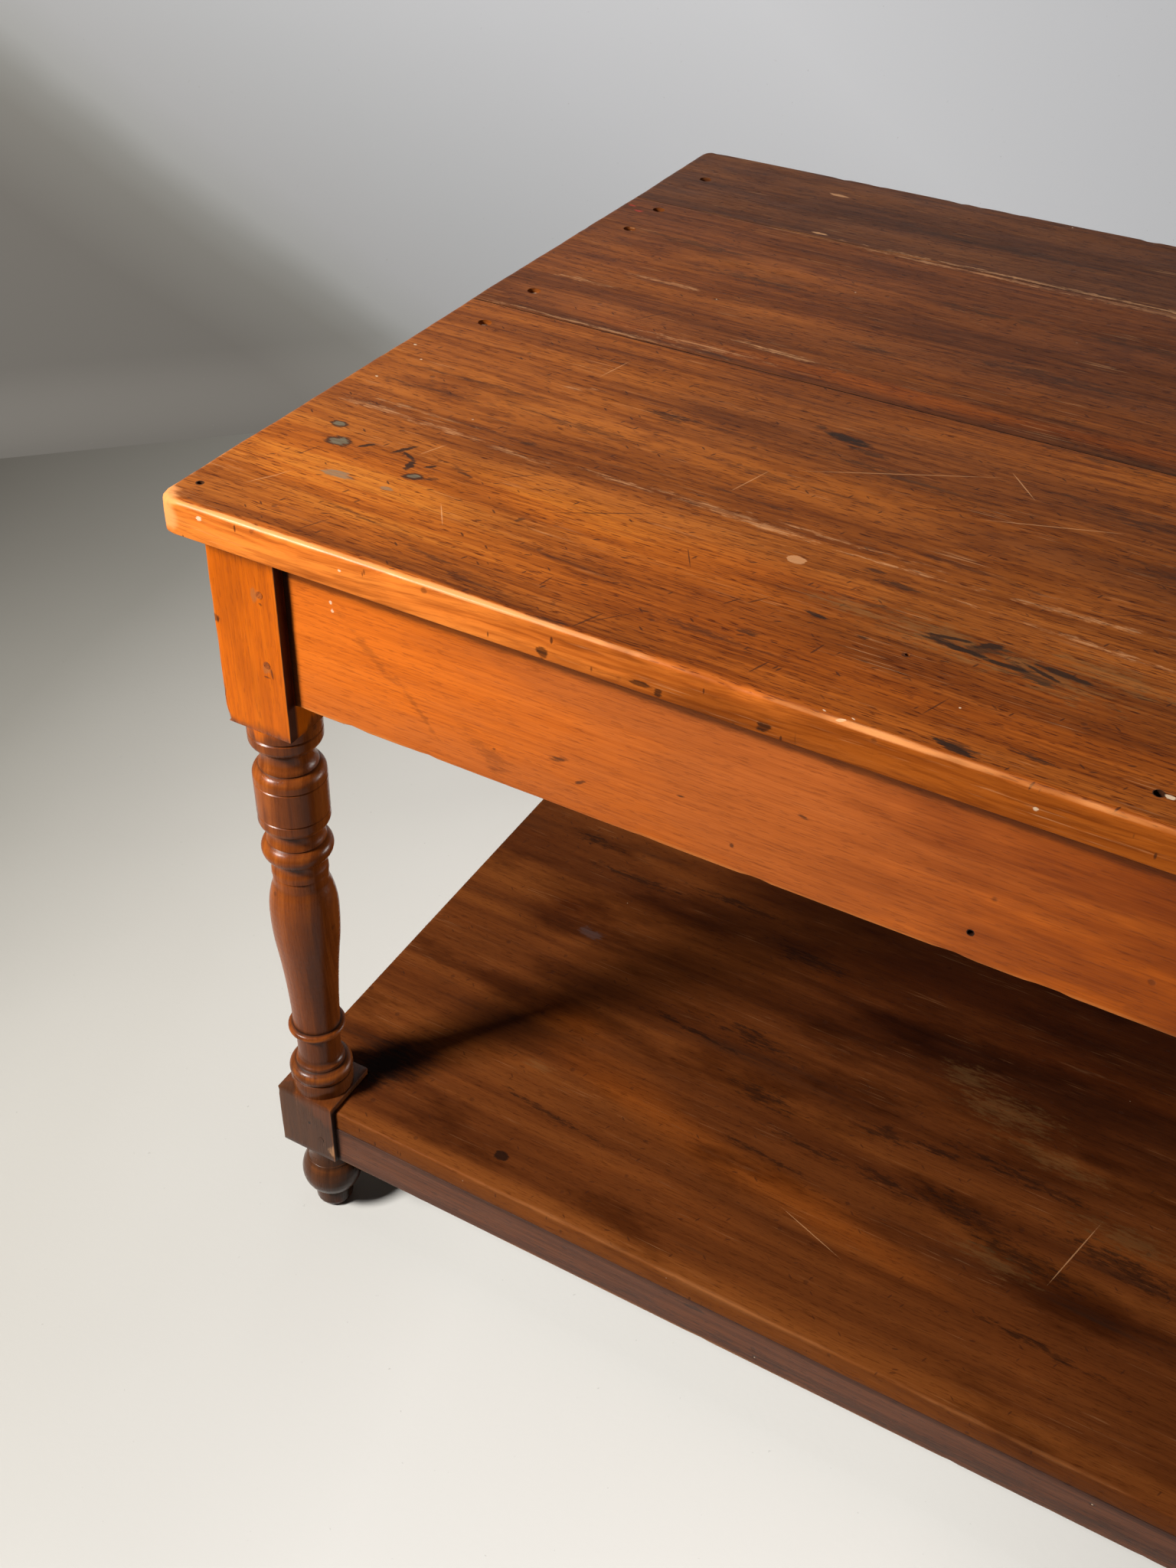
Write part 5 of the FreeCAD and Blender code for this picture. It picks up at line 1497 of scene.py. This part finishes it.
def putty():
    finish = Finish("oldPutty")
    cloud = finish.noise(finish.place, scale=380.0, detail=4.0)
    shades = (tone(70, 52, 42), tone(176, 142, 114), tone(214, 184, 156))
    colour = finish.ramp(finish.fade(cloud, 0.32, 0.62), shades)
    normal = finish.node("ShaderNodeBump", None, {"Strength": 0.5, "Distance": 0.0006, "Height": cloud})
    return finish.surface(colour, 0.85 - cloud * 0.1, normal)


pegHeights = [apronLow + (apronHigh - apronLow) * share for share in (0.26, 0.68)]
railPegHeight = railLow + (railHigh - railLow) * 0.55
pegInset = 16 * mm


def pegPlaces(heights):
    made = []
    for centre in legAxis.values():
        towardX, towardY = -math.copysign(1, centre.x), -math.copysign(1, centre.y)
        for height in heights:
            onLongFace = (centre.x + towardX * pegInset, centre.y - towardY * legHalf, height)
            onEndFace = (centre.x - towardX * legHalf, centre.y + towardY * pegInset, height)
            made += [(onLongFace, (0, -towardY, 0)), (onEndFace, (-towardX, 0, 0))]
    return made


def makeFastenings():
    for finishName, palette, name, heights, node in (
        ("pegWood", "orange", "pegs_apron", pegHeights, "apron_pegs"),
        ("pegWoodDark", "footWood", "pegs_rail", [railPegHeight], "rail_pegs"),
    ):
        finish = wood(finishName, grain="y", palette=palette, stain=0.3, pores=0.8, edge=ink, rough=0.5)
        grow(name, pegTree(finish), pegLook, pegPlaces(heights), finish, "peg_wood", node)
    up = (0, 0, 1)
    heads = [((side * screwLine, y, headTop), up) for side in (-1, 1) for y in screwPlaces]
    metal, filler = steel(), putty()
    grow("screws_top", screwTree(metal), screwLook, heads, metal, "screw_steel", "top_screws")
    filled = [(at, facing) for at, facing in heads if at[1] != lostPutty]
    grow("putty_top", puttyTree(filler), puttyLook, filled, filler, "putty", "screw_putty")


makeFastenings()


# Hidden carpentry keeps its own solids and gets bare, dusty wood

bareKind = {"palette": "bare", "stain": 0.2, "streak": 0.1, "rough": 0.65, "edgeAmount": 0.0}
bareX = wood("bareWoodX", grain="x", **bareKind)
bareY = wood("bareWoodY", grain="y", **bareKind)
for node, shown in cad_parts.items():
    if "bearer" in node or "glue" in node:
        shown.data.materials.clear()
        shown.data.materials.append(bareX if "glue" in node else bareY)
print("hidden pieces finished")

bpy.context.scene.view_settings.view_transform = "Standard"
